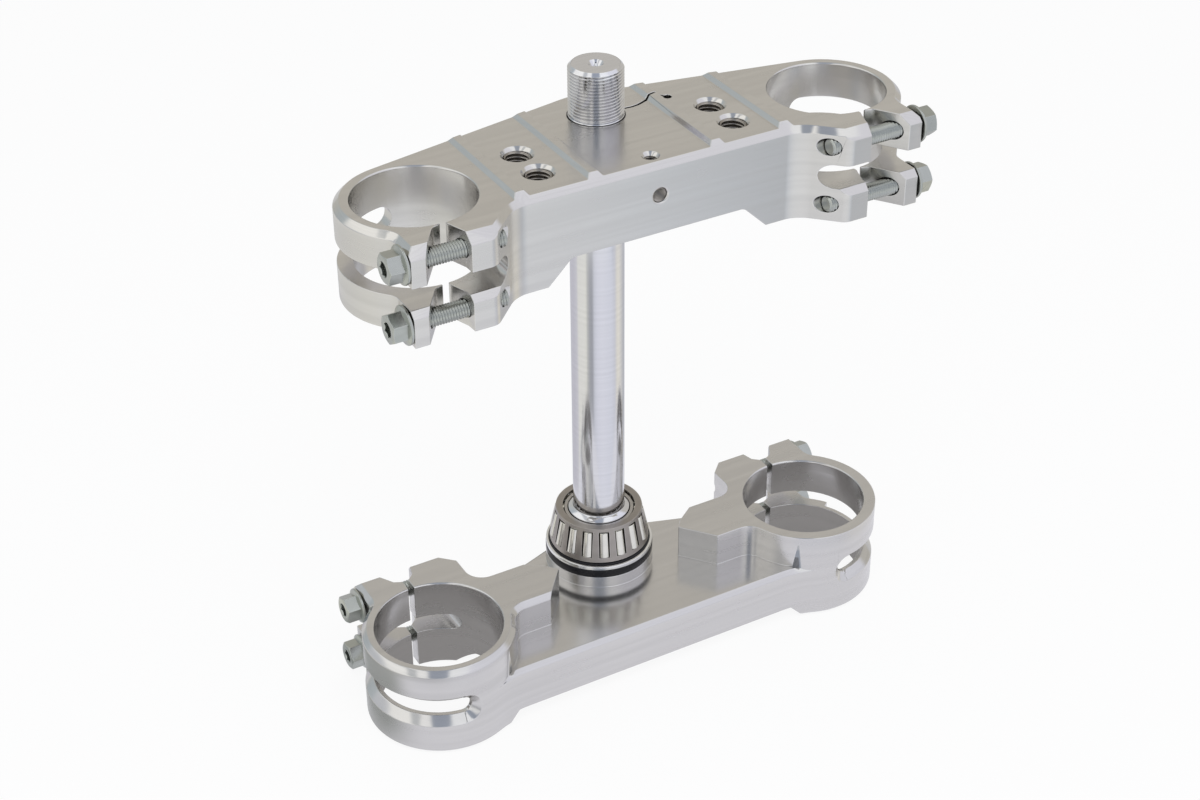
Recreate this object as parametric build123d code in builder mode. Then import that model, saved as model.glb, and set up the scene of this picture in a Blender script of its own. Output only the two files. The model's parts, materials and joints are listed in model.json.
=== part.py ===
from build123d import *
from build123d.topology import SkipClean
from math import acos, atan2, cos, degrees, radians, sin, sqrt, tan
import os

# Motorcycle triple clamp: an upper and a lower fork clamp on one steering stem,
# with the lower steering head bearing and its dust seal on the stem.
# Units are millimetres. The stem axis is Z, the lower clamp's underside is z = 0,
# the front of the motorcycle is -Y and the rider's left is +X.

# Fork and stem lines, shared by both clamps
fork_spacing = 203.0  # between the two fork tube axes
fork_offset = 28.7  # fork axes in front of the stem axis
stem_dia = 25.0
stem_above = 24.1  # how far the stem's threaded end stands above the upper clamp
fit_gap = 0.02  # radial gap of a turned fit that the clamps or a press hold

# Upper clamp
upper_top = 271.8
upper_height = 44.2
upper_bore_dia = 53.0
upper_ring_dia = 66.6
upper_front = 55.2  # beam's front face ahead of the stem axis
rear_slope = 10.76  # degrees, rear edge falling forward to each ring
rear_round = 40.0  # radius that softens the rear edge at the middle
upper_chamfer = 2.7
upper_lug_front = 71.3
upper_lug_side = 123.2  # outer face of the pinch lugs from the stem axis
facet_x = 69.5  # where the beam's front face would meet the facet to the lugs
facet_fillet = 15.0
lug_corner = 5.5
lug_chamfer = 4.5
lower_lug_chamfer = 2.9
ring_lug_fillet = 8.0
relief_depth = 11.2  # raised underside of the beam
relief_half_top = 42.5
relief_half_bottom = 54.0
relief_fillet = 5.0
rib_height = 2.0
rib_base = 7.4
rib_crest = 4.0
rib_places = (29.7, 64.2)  # rib centres from the stem axis
bar_hole_x = 47.8
bar_hole_y = (17.0, 36.0)  # ahead of the stem axis
bar_hole_dia = 12.0
bar_hole_mouth = 15.2
top_hole_y = 46.4
top_hole_dia = 5.2
top_hole_mouth = 8.4
top_hole_depth = 10.5
front_hole_drop = 15.1  # below the top face
front_hole_dia = 6.6
front_hole_mouth = 7.8
front_hole_depth = 11.0
stem_mouth = 0.7
slit_width = 1.2
slit_path = (
    (stem_dia / 2 - 1, -1.3),
    (17.1, -1.7),
    (20.4, -1.2),
    (23.8, 0.1),
    (27.4, 1.6),
    (30.8, 2.5),
    (33.8, 2.2),
    (35.6, -0.4),
)
slit_end = (35.8, -0.8)
slit_end_dia = 3.8
upper_slot_rise = 16.1  # slot's lower face above the clamp's underside
upper_slot_height = 11.3
upper_slot_inner = 75.8
slot_rear_run = 1.0  # how far a ring's slot runs inboard of the fork axis at the back
slot_mouth_y = 47.0  # depth of the front slot, measured like fork_offset

# Lower clamp
lower_height = 47.7
lower_bore_dia = 60.0
lower_ring_dia = 72.0
lower_rim = 2.5
lower_foot = 2.0
web_bottom = 7.0
web_top = 30.0
web_front = 58.8
web_kink_x = 71.0
web_chamfer = 2.1
web_ramp_x = 76.0
web_rear = 22.7
web_rear_slope = 18.3  # degrees
web_rear_x = 75.3  # the web's rear edge runs this far out, into the lugs
boss_dia = 52.6
boss_top = 36.0
hub_dia = 46.0  # under the web, round the stem's lower end
hub_chamfer = 1.5
plateau_front = 36.0
plateau_rear = 8.8
plateau_fillet = 9.0
plateau_tip = (33.5, -20.2)
plateau_shoulder = (37.4, -15.4)
plateau_heel_x = 46.7
plateau_front_x = 46.5
lower_lug_rear = 20.5
lower_rear_chamfer = 4.0
lower_lug_side = 123.2
lower_lug_inner = 73.3
lower_lug_bevel_y = 10.0
lower_slot_mid = 24.4
lower_slot_height = 8.6
lower_slot_lip = 3.85
lower_slot_front_end = 0.1  # the slot ends this far outboard of the fork axis in front
lower_slot_inner = 80.0
lower_lip_end = 33.5  # degrees round each ring behind its outermost line

# Pinch slits, lug gaps and pinch bolts, shared by both clamps
pinch_slit = 2.9
bore_mouth = 0.6
bolt_dia = 8.0
bolt_length = 45.0
thread_gap = 0.04  # radial gap of a bolt in its tapped hole
clearance_hole = 8.8
head_gap = 0.7  # the bolts are run in by hand and stand off the lug
flange_dia = 17.0
flange_height = 1.6
hex_across = 12.0
head_height = 8.2
hex_chamfer = 0.6
flange_taper = 12.0
thread_lead = 0.8
socket_across = 6.0
socket_depth = 4.5
spot_face_dia = 18.4
bolt_reach = 60.0  # the tapped holes run this far in from the outer faces
outer_lug_depth = 15.0  # the outer lugs' clear holes end in the gap
upper_bolt_y = 64.5
lower_bolt_y = 13.2
upper_gap_root = 57.0  # the upper slit opens here, ahead of the stem axis
upper_gap_step = 1.0
upper_gap_inner = (4.6, 66.0)  # turn of the gap's inner wall, from the fork axis and ahead
upper_gap_inner_mouth = 5.0
upper_gap_outer = 5.2
upper_gap_outer_mouth = 15.8
upper_gap_fillet = 3.5
lower_gap_root = 8.0  # the lower slit opens here, behind the stem axis
lower_gap_inner = (4.9, 11.0)
lower_gap_inner_mouth = 7.6
lower_gap_outer = (5.2, 9.8)
lower_gap_outer_mouth = 12.4

# Steering stem
stem_low = 0.0
stem_seat_dia = 30.0
collar_dia = 38.0
stem_bore_dia = 17.0
stem_bore_end = 7.6  # the bore ends this far under the upper clamp
thread_dia = 24.9
thread_start = 0.3  # the plain shaft ends this far above the upper clamp
thread_groove_dia = 23.2  # groove at the thread's foot, as deep as the thread
thread_groove_width = 0.7
thread_chamfer = 1.6
centre_dia = 7.0
centre_pilot = 2.0
centre_depth = 3.2
shoulder_rise = 0.9  # from the bearing's inner ring to the shoulder's foot
shoulder_height = 1.5

# Lower bearing, its inner ring pressed on the seat and its cage free to turn
race_rise = 7.0  # above the boss
race_height = 17.0
race_rib_dia = 43.2
race_rib_height = 1.5
race_lip_dia = 34.0
race_lip_height = 1.6
roller_count = 17
roller_dia = 6.2
roller_length = 13.2
roller_tilt = 11.0
roller_taper = 1.2  # half angle of the roller's cone
roller_low_r = 21.66  # middle of the roller's large end, from the stem axis
roller_rise = 2.6  # the same above the inner ring's lower face
roller_gap = 0.1
roller_proud_low = 0.79  # how far the rollers stand out of the cage
roller_proud_high = 0.42
cage_start = 0.6  # cage's lower edge above the inner ring's lower face
cage_over = 1.2  # cage's upper edge above the inner ring's upper face
cage_wall = 1.2
cage_lip_gap = 0.7
window_room = 0.5  # past a roller's small end
window_gap_out = 0.43  # beside a roller, at the cage's outside
window_gap_in = 0.2
cage_phase = -6.9  # degrees the cage is turned from the rider's left

# Dust seal under the bearing and the steel ring on it
seal_flange = 4.2
seal_neck = 3.0  # height above the flange
seal_step = 0.6  # the neck's inner step under its rim
seal_step_gap = 0.9  # round the bearing's inner ring
seal_neck_wall = 2.4
washer_width = 1.3
washer_height = 2.0
seal_margin = 0.2  # the flange stands out past the ring
edge_break = 0.4

# Screw that closes the upper clamp on the stem, from behind
stem_screw_x = 24.0
stem_screw_drop = 15.8  # below the top face
stem_screw_seat = 9.0  # behind the stem axis
stem_screw_head_dia = 13.0
stem_screw_head = 8.0
stem_screw_length = 29.0
stem_screw_end_room = 1.0  # from the screw's end to its hole's
stem_screw_room = 0.5

far = 300.0  # past the part in any direction
overrun = 1.0  # a shaped cut reaches this far past the face it opens in
fork_x = fork_spacing / 2
fork_y = -fork_offset
upper_bottom = upper_top - upper_height
upper_slot_low = upper_bottom + upper_slot_rise
upper_slot_high = upper_slot_low + upper_slot_height
upper_slot_mid = (upper_slot_low + upper_slot_high) / 2
front_hole_z = upper_top - front_hole_drop
stem_screw_z = upper_top - stem_screw_drop
stem_top = upper_top + stem_above
upper_ring_r = upper_ring_dia / 2
lower_ring_r = lower_ring_dia / 2
bolt_hole_r = bolt_dia / 2 + thread_gap
# each bolt runs through the middle of a band, above or below the rings' slots
upper_bolt_z = ((upper_top + upper_slot_high) / 2, (upper_bottom + upper_slot_low) / 2)
lower_bolt_z = (
    (lower_height + lower_slot_mid + lower_slot_height / 2) / 2,
    (lower_slot_mid - lower_slot_height / 2) / 2,
)


def cross_plane(height):
    # Faces forward from behind the part, so that a cut from it runs through it all.
    return Plane(origin=(0, far, height), x_dir=(1, 0, 0), z_dir=(0, -1, 0))


def on_circle(centre, radius, angle):
    return (centre[0] + radius * cos(radians(angle)), centre[1] + radius * sin(radians(angle)))


def round_corner(sketch, point, radius):
    fillet(sketch.vertices().sort_by_distance((point[0], point[1], 0))[0:1], radius)


def fork_discs(bore_dia, height):
    # The two fork tubes' section, from which the bores are cut.
    with BuildSketch(Plane.XY.offset(height)) as discs:
        with Locations((-fork_x, fork_y), (fork_x, fork_y)):
            Circle(bore_dia / 2)
    return discs.sketch


# Upper clamp: a plate outline raised to the ribs' height, chamfered, then cut
# down between the ribs, bored, slotted and split.
upper_facet_corner = facet_x + upper_lug_front - upper_front
upper_meet_y = fork_y - sqrt(upper_ring_r**2 - (upper_lug_side - fork_x) ** 2)
upper_meet_angle = degrees(atan2(upper_meet_y - fork_y, upper_lug_side - fork_x))
upper_rear_angle = 90 - rear_slope
upper_rear_point = on_circle((fork_x, fork_y), upper_ring_r, upper_rear_angle)
upper_rear_mid = upper_rear_point[1] + upper_rear_point[0] * tan(radians(rear_slope))

with BuildSketch() as upper_outline:
    with BuildLine():
        Polyline(
            (0, -upper_front),
            (facet_x, -upper_front),
            (upper_facet_corner, -upper_lug_front),
            (upper_lug_side, -upper_lug_front),
            (upper_lug_side, upper_meet_y),
        )
        CenterArc(
            (fork_x, fork_y), upper_ring_r, upper_meet_angle, upper_rear_angle - upper_meet_angle
        )
        Line(upper_rear_point, (0, upper_rear_mid))
        mirror(about=Plane.YZ)
    make_face()
    round_corner(upper_outline, (0, upper_rear_mid), rear_round)
    for side in (-1, 1):
        round_corner(upper_outline, (side * facet_x, -upper_front), facet_fillet)
        round_corner(upper_outline, (side * upper_facet_corner, -upper_lug_front), lug_corner)
        round_corner(upper_outline, (side * upper_lug_side, upper_meet_y), ring_lug_fillet)

with BuildSketch(Plane.XZ) as between_ribs:
    Rectangle(2 * far, far, align=(Align.CENTER, Align.MIN))
    with Locations([(side * place, 0) for side in (-1, 1) for place in rib_places]):
        Trapezoid(
            rib_base,
            rib_height,
            degrees(atan2(rib_height, (rib_base - rib_crest) / 2)),
            align=(Align.CENTER, Align.MIN),
            mode=Mode.SUBTRACT,
        )

with BuildSketch(Plane.XZ) as upper_relief:
    with BuildLine():
        Polyline(
            (-relief_half_bottom - relief_depth, -relief_depth),
            (-relief_half_bottom, 0),
            (-relief_half_top, relief_depth),
            (relief_half_top, relief_depth),
            (relief_half_bottom, 0),
            (relief_half_bottom + relief_depth, -relief_depth),
            close=True,
        )
    make_face()
    for side in (-1, 1):
        round_corner(upper_relief, (side * relief_half_top, relief_depth), relief_fillet)

upper_slit_start = -upper_bore_dia / 2 - fork_offset + 5
gap_front = upper_lug_front + overrun
with BuildSketch() as upper_gap:
    for side in (-1, 1):
        with BuildLine():
            Polyline(
                (side * (fork_x - pinch_slit / 2), upper_slit_start),
                (side * (fork_x - pinch_slit / 2), -upper_gap_root),
                (side * (fork_x - upper_gap_inner[0]), -upper_gap_inner[1]),
                (side * (fork_x - upper_gap_inner_mouth), -gap_front),
                (side * (fork_x + upper_gap_outer_mouth), -gap_front),
                (side * (fork_x + upper_gap_outer), -upper_gap_root),
                (side * (fork_x + pinch_slit / 2), upper_gap_step - upper_gap_root),
                (side * (fork_x + pinch_slit / 2), upper_slit_start),
                close=True,
            )
        make_face()
        round_corner(
            upper_gap, (side * (fork_x + upper_gap_outer), -upper_gap_root), upper_gap_fillet
        )

with BuildPart() as upper_clamp:
    with BuildSketch(Plane.XY.offset(upper_bottom)):
        add(upper_outline.sketch)
    extrude(amount=upper_height + rib_height)
    chamfer(upper_clamp.faces().sort_by(Axis.Z)[-1].edges(), upper_chamfer + rib_height)
    with BuildSketch(cross_plane(upper_top)):
        add(between_ribs.sketch_local)
    extrude(amount=2 * far, mode=Mode.SUBTRACT)
    with BuildSketch(cross_plane(upper_bottom)):
        add(upper_relief.sketch_local)
    extrude(amount=2 * far, mode=Mode.SUBTRACT)
    # mouths of the fork bores, and the stem bore with its own
    with Locations((0, 0, upper_top)):
        with Locations((-fork_x, fork_y), (fork_x, fork_y)):
            CounterSinkHole(
                upper_bore_dia / 2 - bore_mouth,
                upper_bore_dia / 2 + bore_mouth,
                counter_sink_angle=90,
            )
        CounterSinkHole(
            stem_dia / 2 + fit_gap, stem_dia / 2 + fit_gap + stem_mouth, counter_sink_angle=90
        )
        # threaded holes for the handlebar mounts
        with Locations([(side * bar_hole_x, -y) for side in (-1, 1) for y in bar_hole_y]):
            CounterSinkHole(bar_hole_dia / 2, bar_hole_mouth / 2, counter_sink_angle=90)
        with Locations((0, -top_hole_y)):
            CounterSinkHole(top_hole_dia / 2, top_hole_mouth / 2, top_hole_depth, 90)
    with Locations(Plane.XZ.offset(upper_front) * Location((0, front_hole_z, 0))):
        CounterSinkHole(front_hole_dia / 2, front_hole_mouth / 2, front_hole_depth, 90)
    # the slit that lets the clamp close on the stem, and its end hole
    with BuildSketch(Plane.XY.offset(upper_bottom)):
        with BuildLine():
            Polyline(*slit_path)
        trace(line_width=slit_width)
        with Locations(slit_end):
            Circle(slit_end_dia / 2)
    extrude(amount=far, mode=Mode.SUBTRACT)
    with Locations(Plane.XZ.offset(-stem_screw_seat) * Location((stem_screw_x, stem_screw_z, 0))):
        Cylinder(
            bolt_hole_r,
            stem_screw_length + stem_screw_end_room,
            align=(Align.CENTER, Align.CENTER, Align.MIN),
            mode=Mode.SUBTRACT,
        )
        Cylinder(
            stem_screw_head_dia / 2 + stem_screw_room,
            far,
            align=(Align.CENTER, Align.CENTER, Align.MAX),
            mode=Mode.SUBTRACT,
        )
    # lug gaps and pinch slits
    with BuildSketch(Plane.XY.offset(upper_bottom)):
        add(upper_gap.sketch)
    extrude(amount=far, mode=Mode.SUBTRACT)
    # slots that part each ring and its lugs into two bands
    for side in (-1, 1):
        for start_y, length, inner in (
            (slot_mouth_y, far, upper_slot_inner),
            (-far, far + slot_mouth_y, fork_x - slot_rear_run),
        ):
            with BuildSketch(Plane.XZ.offset(start_y)):
                with Locations((side * (inner + far / 2), upper_slot_mid)):
                    SlotOverall(far, upper_slot_height)
            extrude(amount=length, mode=Mode.SUBTRACT)
    # front chamfers of the lugs, large on the upper band and smaller on the lower
    for top, size in ((upper_top, lug_chamfer), (upper_slot_low, lower_lug_chamfer)):
        for side in (-1, 1):
            with BuildSketch(Plane.YZ.offset(side * (upper_facet_corner - lug_corner))):
                with BuildLine():
                    Polyline(
                        (-upper_lug_front + size, top),
                        (-upper_lug_front - overrun, top),
                        (-upper_lug_front - overrun, top - size - overrun),
                        (-upper_lug_front, top - size),
                        close=True,
                    )
                make_face()
            extrude(amount=side * far, mode=Mode.SUBTRACT)
    # pinch bolt holes: tapped in the inner lug, clear in the outer, spot faced
    for side in (-1, 1):
        for z in upper_bolt_z:
            with Locations(Location((side * upper_lug_side, -upper_bolt_y, z), (0, side * 90, 0))):
                Cylinder(bolt_hole_r, 2 * bolt_reach, mode=Mode.SUBTRACT)
                Cylinder(
                    clearance_hole / 2,
                    outer_lug_depth,
                    align=(Align.CENTER, Align.CENTER, Align.MAX),
                    mode=Mode.SUBTRACT,
                )
                Cylinder(
                    spot_face_dia / 2,
                    far,
                    align=(Align.CENTER, Align.CENTER, Align.MIN),
                    mode=Mode.SUBTRACT,
                )
    # fork bores, one wall for each ring's band above its slot and one for the band below
    with SkipClean():
        for low, high in ((upper_bottom, upper_slot_mid), (upper_slot_mid, upper_top)):
            discs = fork_discs(upper_bore_dia, low)
            extrude(discs, amount=high - low, mode=Mode.SUBTRACT)
upper_clamp.part.label = "upper_clamp"

# Lower clamp: rings, plateaus and lugs from one outline, a lower web with the
# boss for the stem in front and between them, then bored, slotted and split.
lower_meet_y = fork_y + sqrt(lower_ring_r**2 - (lower_lug_side - fork_x) ** 2)
plateau_meet_x = fork_x - sqrt(lower_ring_r**2 - (plateau_front + fork_y) ** 2)
blend_run = fork_x - web_kink_x
blend_depth = web_front - fork_offset
blend_r = (blend_run**2 / (lower_ring_r - blend_depth) - lower_ring_r - blend_depth) / 2
blend_centre = (web_kink_x, -web_front - blend_r)
blend_angle = degrees(atan2(blend_depth + blend_r, blend_run))
lip_centre_x = fork_x + lower_slot_front_end + lower_slot_height / 2
lip_start = -degrees(acos((lip_centre_x - fork_x) / lower_ring_r))
lip_sweep = lower_lip_end - lip_start
lug_bevel = lower_lug_rear - lower_lug_bevel_y

with BuildSketch() as high_outline:
    with BuildLine():
        Polyline(
            plateau_tip,
            (plateau_front_x, -plateau_front),
            (fork_x, -plateau_front),
            (fork_x, -plateau_rear),
            (plateau_heel_x, -plateau_rear),
            plateau_shoulder,
            close=True,
        )
    make_face()
    with BuildLine():
        CenterArc(
            (lower_lug_inner - plateau_fillet, plateau_fillet - plateau_rear), plateau_fillet, 270, 90
        )
        Polyline(
            (lower_lug_inner, plateau_fillet - plateau_rear),
            (lower_lug_inner, lower_lug_bevel_y),
            (lower_lug_inner + lug_bevel, lower_lug_rear),
            (lower_lug_side, lower_lug_rear),
            (lower_lug_side, lower_meet_y),
            (fork_x, fork_y),
            (lower_lug_inner - plateau_fillet, -plateau_rear),
        )
    make_face()
    with Locations((fork_x, fork_y)):
        Circle(lower_ring_r)
    round_corner(high_outline, (plateau_meet_x, -plateau_front), plateau_fillet)
    round_corner(high_outline, (lower_lug_side, lower_meet_y), ring_lug_fillet)
    mirror(about=Plane.YZ)

with BuildSketch() as web_outline:
    with BuildLine():
        Line((0, -web_front), (web_kink_x, -web_front))
        CenterArc(blend_centre, blend_r, 90, blend_angle - 90)
        Polyline(
            on_circle(blend_centre, blend_r, blend_angle),
            (fork_x, fork_y),
            (web_rear_x, web_rear - web_rear_x * tan(radians(web_rear_slope))),
            (0, web_rear),
        )
        mirror(about=Plane.YZ)
    make_face()

lower_slit_start = fork_y + lower_bore_dia / 2 - 5
gap_rear = lower_lug_rear + overrun
with BuildSketch() as lower_gap:
    for side in (-1, 1):
        with BuildLine():
            Polyline(
                (side * (fork_x - pinch_slit / 2), lower_slit_start),
                (side * (fork_x - pinch_slit / 2), lower_gap_root),
                (side * (fork_x - lower_gap_inner[0]), lower_gap_inner[1]),
                (side * (fork_x - lower_gap_inner_mouth), gap_rear),
                (side * (fork_x + lower_gap_outer_mouth), gap_rear),
                (side * (fork_x + lower_gap_outer[0]), lower_gap_outer[1]),
                (side * (fork_x + pinch_slit / 2), lower_gap_root),
                (side * (fork_x + pinch_slit / 2), lower_slit_start),
                close=True,
            )
        make_face()

with BuildPart() as lower_clamp:
    with BuildSketch():
        add(high_outline.sketch)
    extrude(amount=lower_height)
    # bevelled rim round each ring and along the front of the plateaus
    chamfer(
        lower_clamp.faces()
        .sort_by(Axis.Z)[-1]
        .edges()
        .filter_by(lambda edge: edge.center().Y < 1 - plateau_front or abs(edge.center().X) > fork_x)
        .filter_by(lambda edge: edge.center().Y < 0),
        lower_rim,
    )
    with BuildSketch():
        add(web_outline.sketch)
        Circle(boss_dia / 2)
    extrude(amount=web_top)
    chamfer(
        lower_clamp.edges()
        .filter_by(lambda edge: abs(edge.center().Z - web_top) < 0.1 and edge.center().Y < -web_front + 2),
        web_chamfer,
    )
    with BuildSketch(Plane.XY.offset(web_top)):
        Circle(boss_dia / 2)
    extrude(amount=boss_top - web_top)
    # rear chamfer of the lugs
    for side in (-1, 1):
        with BuildSketch(Plane.YZ.offset(side * lower_lug_inner)):
            with BuildLine():
                Polyline(
                    (lower_lug_rear - lower_rear_chamfer, lower_height),
                    (lower_lug_rear + overrun, lower_height),
                    (lower_lug_rear + overrun, lower_height - lower_rear_chamfer - overrun),
                    (lower_lug_rear, lower_height - lower_rear_chamfer),
                    close=True,
                )
            make_face()
        extrude(amount=side * far, mode=Mode.SUBTRACT)
    # raised underside of the web
    with BuildSketch(cross_plane(0)):
        with BuildLine():
            Polyline(
                (-web_ramp_x - 2 * web_bottom, -web_bottom),
                (-web_ramp_x, web_bottom),
                (web_ramp_x, web_bottom),
                (web_ramp_x + 2 * web_bottom, -web_bottom),
                close=True,
            )
        make_face()
    extrude(amount=2 * far, mode=Mode.SUBTRACT)
    with BuildSketch():
        Circle(hub_dia / 2)
    extrude(amount=web_top)
    chamfer(
        lower_clamp.edges(Select.LAST).filter_by(GeomType.CIRCLE).sort_by(Axis.Z)[0:1], hub_chamfer
    )
    with Locations((0, 0, lower_height)):
        with Locations((-fork_x, fork_y), (fork_x, fork_y)):
            CounterSinkHole(
                lower_bore_dia / 2 - bore_mouth,
                lower_bore_dia / 2 + bore_mouth,
                counter_sink_angle=90,
            )
    with Locations((0, 0, boss_top)):
        CounterSinkHole(
            stem_seat_dia / 2 + fit_gap, stem_seat_dia / 2 + fit_gap + stem_mouth, counter_sink_angle=90
        )
    # lug gaps and pinch slits
    with BuildSketch():
        add(lower_gap.sketch)
    extrude(amount=far, mode=Mode.SUBTRACT)
    # each ring's slot, with bevelled lips round the outside
    for side in (-1, 1):
        for start_y, length, inner in (
            (fork_offset, far, fork_x + lower_slot_front_end),
            (-far, far + fork_offset, lower_slot_inner),
        ):
            with BuildSketch(Plane.XZ.offset(start_y)):
                with Locations((side * (inner + far / 2), lower_slot_mid)):
                    SlotOverall(far, lower_slot_height)
            extrude(amount=length, mode=Mode.SUBTRACT)
        with Locations(
            Location((side * lip_centre_x, fork_y - lower_ring_r, lower_slot_mid), (90, 0, 0))
        ):
            Cone(
                lower_slot_height / 2,
                lower_slot_height / 2 + 2 * lower_slot_lip,
                2 * lower_slot_lip,
                mode=Mode.SUBTRACT,
            )
        first = lip_start if side > 0 else 180 - lip_start - lip_sweep
        lip_plane = Plane(
            origin=(side * fork_x, fork_y, lower_slot_mid),
            x_dir=(cos(radians(first)), sin(radians(first)), 0),
            z_dir=(sin(radians(first)), -cos(radians(first)), 0),
        )
        with BuildSketch(lip_plane):
            with BuildLine():
                Polyline(
                    (lower_ring_r - lower_slot_lip, -lower_slot_height / 2),
                    (lower_ring_r + overrun, -lower_slot_height / 2 - lower_slot_lip - overrun),
                    (lower_ring_r + overrun, lower_slot_height / 2 + lower_slot_lip + overrun),
                    (lower_ring_r - lower_slot_lip, lower_slot_height / 2),
                    close=True,
                )
            make_face()
        revolve(
            axis=Axis((side * fork_x, fork_y, 0), (0, 0, 1)),
            revolution_arc=lip_sweep,
            mode=Mode.SUBTRACT,
        )
    for side in (-1, 1):
        for z in lower_bolt_z:
            with Locations(Location((side * lower_lug_side, lower_bolt_y, z), (0, side * 90, 0))):
                Cylinder(bolt_hole_r, 2 * bolt_reach, mode=Mode.SUBTRACT)
                Cylinder(
                    clearance_hole / 2,
                    outer_lug_depth,
                    align=(Align.CENTER, Align.CENTER, Align.MAX),
                    mode=Mode.SUBTRACT,
                )
                Cylinder(
                    spot_face_dia / 2,
                    far,
                    align=(Align.CENTER, Align.CENTER, Align.MIN),
                    mode=Mode.SUBTRACT,
                )
    chamfer(
        lower_clamp.edges()
        .filter_by(lambda edge: edge.bounding_box().max.Z < 0.1 and edge.center().Y < 0)
        .filter_by(
            lambda edge: edge.geom_type == GeomType.CIRCLE
            and abs(edge.radius - lower_ring_r) < 0.1
        ),
        lower_foot,
    )
    # fork bores, one wall for each ring's band above its slot and one for the band below
    with SkipClean():
        for low, high in ((0, lower_slot_mid), (lower_slot_mid, lower_height)):
            discs = fork_discs(lower_bore_dia, low)
            extrude(discs, amount=high - low, mode=Mode.SUBTRACT)
lower_clamp.part.label = "lower_clamp"


def turned(points):
    # A face in the half plane of the stem axis, from (radius, height) corners.
    with BuildSketch(Plane.XZ) as profile:
        with BuildLine():
            Polyline(*points, close=True)
        make_face()
    return profile.sketch


# Steering stem, a tube with the bearing seat, a collar on the boss and a threaded top
stem_r = stem_dia / 2
seat_r = stem_seat_dia / 2
bore_r = stem_bore_dia / 2
thread_r = thread_dia / 2
thread_low = upper_top + thread_start
thread_groove_top = thread_low + thread_groove_width
stem_bore_top = upper_bottom - stem_bore_end
race_low = boss_top + race_rise
race_high = race_low + race_height
shoulder_low = race_high + shoulder_rise
shoulder_top = shoulder_low + shoulder_height
with BuildPart() as steering_stem:
    add(
        turned(
            [
                (bore_r, stem_low),
                (seat_r - stem_mouth, stem_low),
                (seat_r, stem_low + stem_mouth),
                (seat_r, boss_top + fit_gap),
                (collar_dia / 2, boss_top + fit_gap),
                (collar_dia / 2, race_low - fit_gap),
                (seat_r, race_low - fit_gap),
                (seat_r, shoulder_low),
                (stem_r, shoulder_top),
                (stem_r, thread_low),
                (thread_groove_dia / 2, thread_low),
                (thread_groove_dia / 2, thread_groove_top),
                (thread_r, thread_groove_top),
                (thread_r, stem_top - thread_chamfer),
                (thread_r - thread_chamfer, stem_top),
                (centre_dia / 2, stem_top),
                (centre_pilot / 2, stem_top - centre_depth),
                (0, stem_top - centre_depth),
                (0, stem_bore_top + bore_r),
                (bore_r, stem_bore_top),
            ]
        )
    )
    revolve(axis=Axis.Z)
steering_stem.part.label = "steering_stem"

# Bearing inner ring: a coned track between two ribs
small_r = roller_dia / 2 - roller_length * tan(radians(roller_taper))
roller_low_z = race_low + roller_rise
roller_high_r = roller_low_r - roller_length * sin(radians(roller_tilt))
roller_high_z = roller_low_z + roller_length * cos(radians(roller_tilt))
across = (cos(radians(roller_tilt)), sin(radians(roller_tilt)))
track_low = (
    roller_low_r - (roller_dia / 2 + roller_gap) * across[0],
    roller_low_z - (roller_dia / 2 + roller_gap) * across[1],
)
track_high = (
    roller_high_r - (small_r + roller_gap) * across[0],
    roller_high_z - (small_r + roller_gap) * across[1],
)
track_slope = (track_high[0] - track_low[0]) / (track_high[1] - track_low[1])
rib_top = race_low + race_rib_height
lip_low = race_high - race_lip_height
with BuildPart() as bearing_inner_race:
    add(
        turned(
            [
                (seat_r + fit_gap, race_low),
                (race_rib_dia / 2, race_low),
                (race_rib_dia / 2, rib_top),
                (track_low[0] + track_slope * (rib_top - track_low[1]), rib_top),
                (track_low[0] + track_slope * (lip_low - track_low[1]), lip_low),
                (race_lip_dia / 2, lip_low),
                (race_lip_dia / 2, race_high),
                (seat_r + fit_gap + edge_break, race_high),
                (seat_r + fit_gap, race_high - edge_break),
            ]
        )
    )
    revolve(axis=Axis.Z)
bearing_inner_race.part.label = "bearing_inner_race"


# the first roller's large end, its X outward and its Z along the roller
roller_lean = Plane(
    origin=(roller_low_r, 0, roller_low_z),
    x_dir=(across[0], 0, across[1]),
    z_dir=(-across[1], 0, across[0]),
)


def roller_body():
    # One tapered roller at +X.
    with BuildPart() as roller:
        with BuildSketch(roller_lean * Plane.XZ):
            with BuildLine():
                Polyline(
                    (0, 0),
                    (roller_dia / 2, 0),
                    (small_r, roller_length),
                    (0, roller_length),
                    close=True,
                )
            make_face()
        revolve(axis=Axis(roller_lean.origin, roller_lean.z_dir))
    return roller.part


# Cage: a coned cup with a window for each roller, whose side stands out of it
proud_low = (
    roller_low_r + roller_dia / 2 * across[0] - roller_proud_low,
    roller_low_z + roller_dia / 2 * across[1],
)
proud_high = (
    roller_high_r + small_r * across[0] - roller_proud_high,
    roller_high_z + small_r * across[1],
)
cage_slope = (proud_high[0] - proud_low[0]) / (proud_high[1] - proud_low[1])
cage_low = race_low + cage_start
cage_high = race_high + cage_over
cage_low_r = proud_low[0] + cage_slope * (cage_low - proud_low[1])
cage_high_r = proud_low[0] + cage_slope * (cage_high - proud_low[1])
# a window's half widths where its roller passes the wall's outside and its inside
wall_out = roller_dia / 2 - roller_proud_low
wall_in = wall_out - cage_wall
half_out = sqrt((roller_dia / 2) ** 2 - wall_out**2) + window_gap_out
half_in = sqrt((roller_dia / 2) ** 2 - wall_in**2) + window_gap_in
flare = (half_in - half_out) / cage_wall


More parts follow.
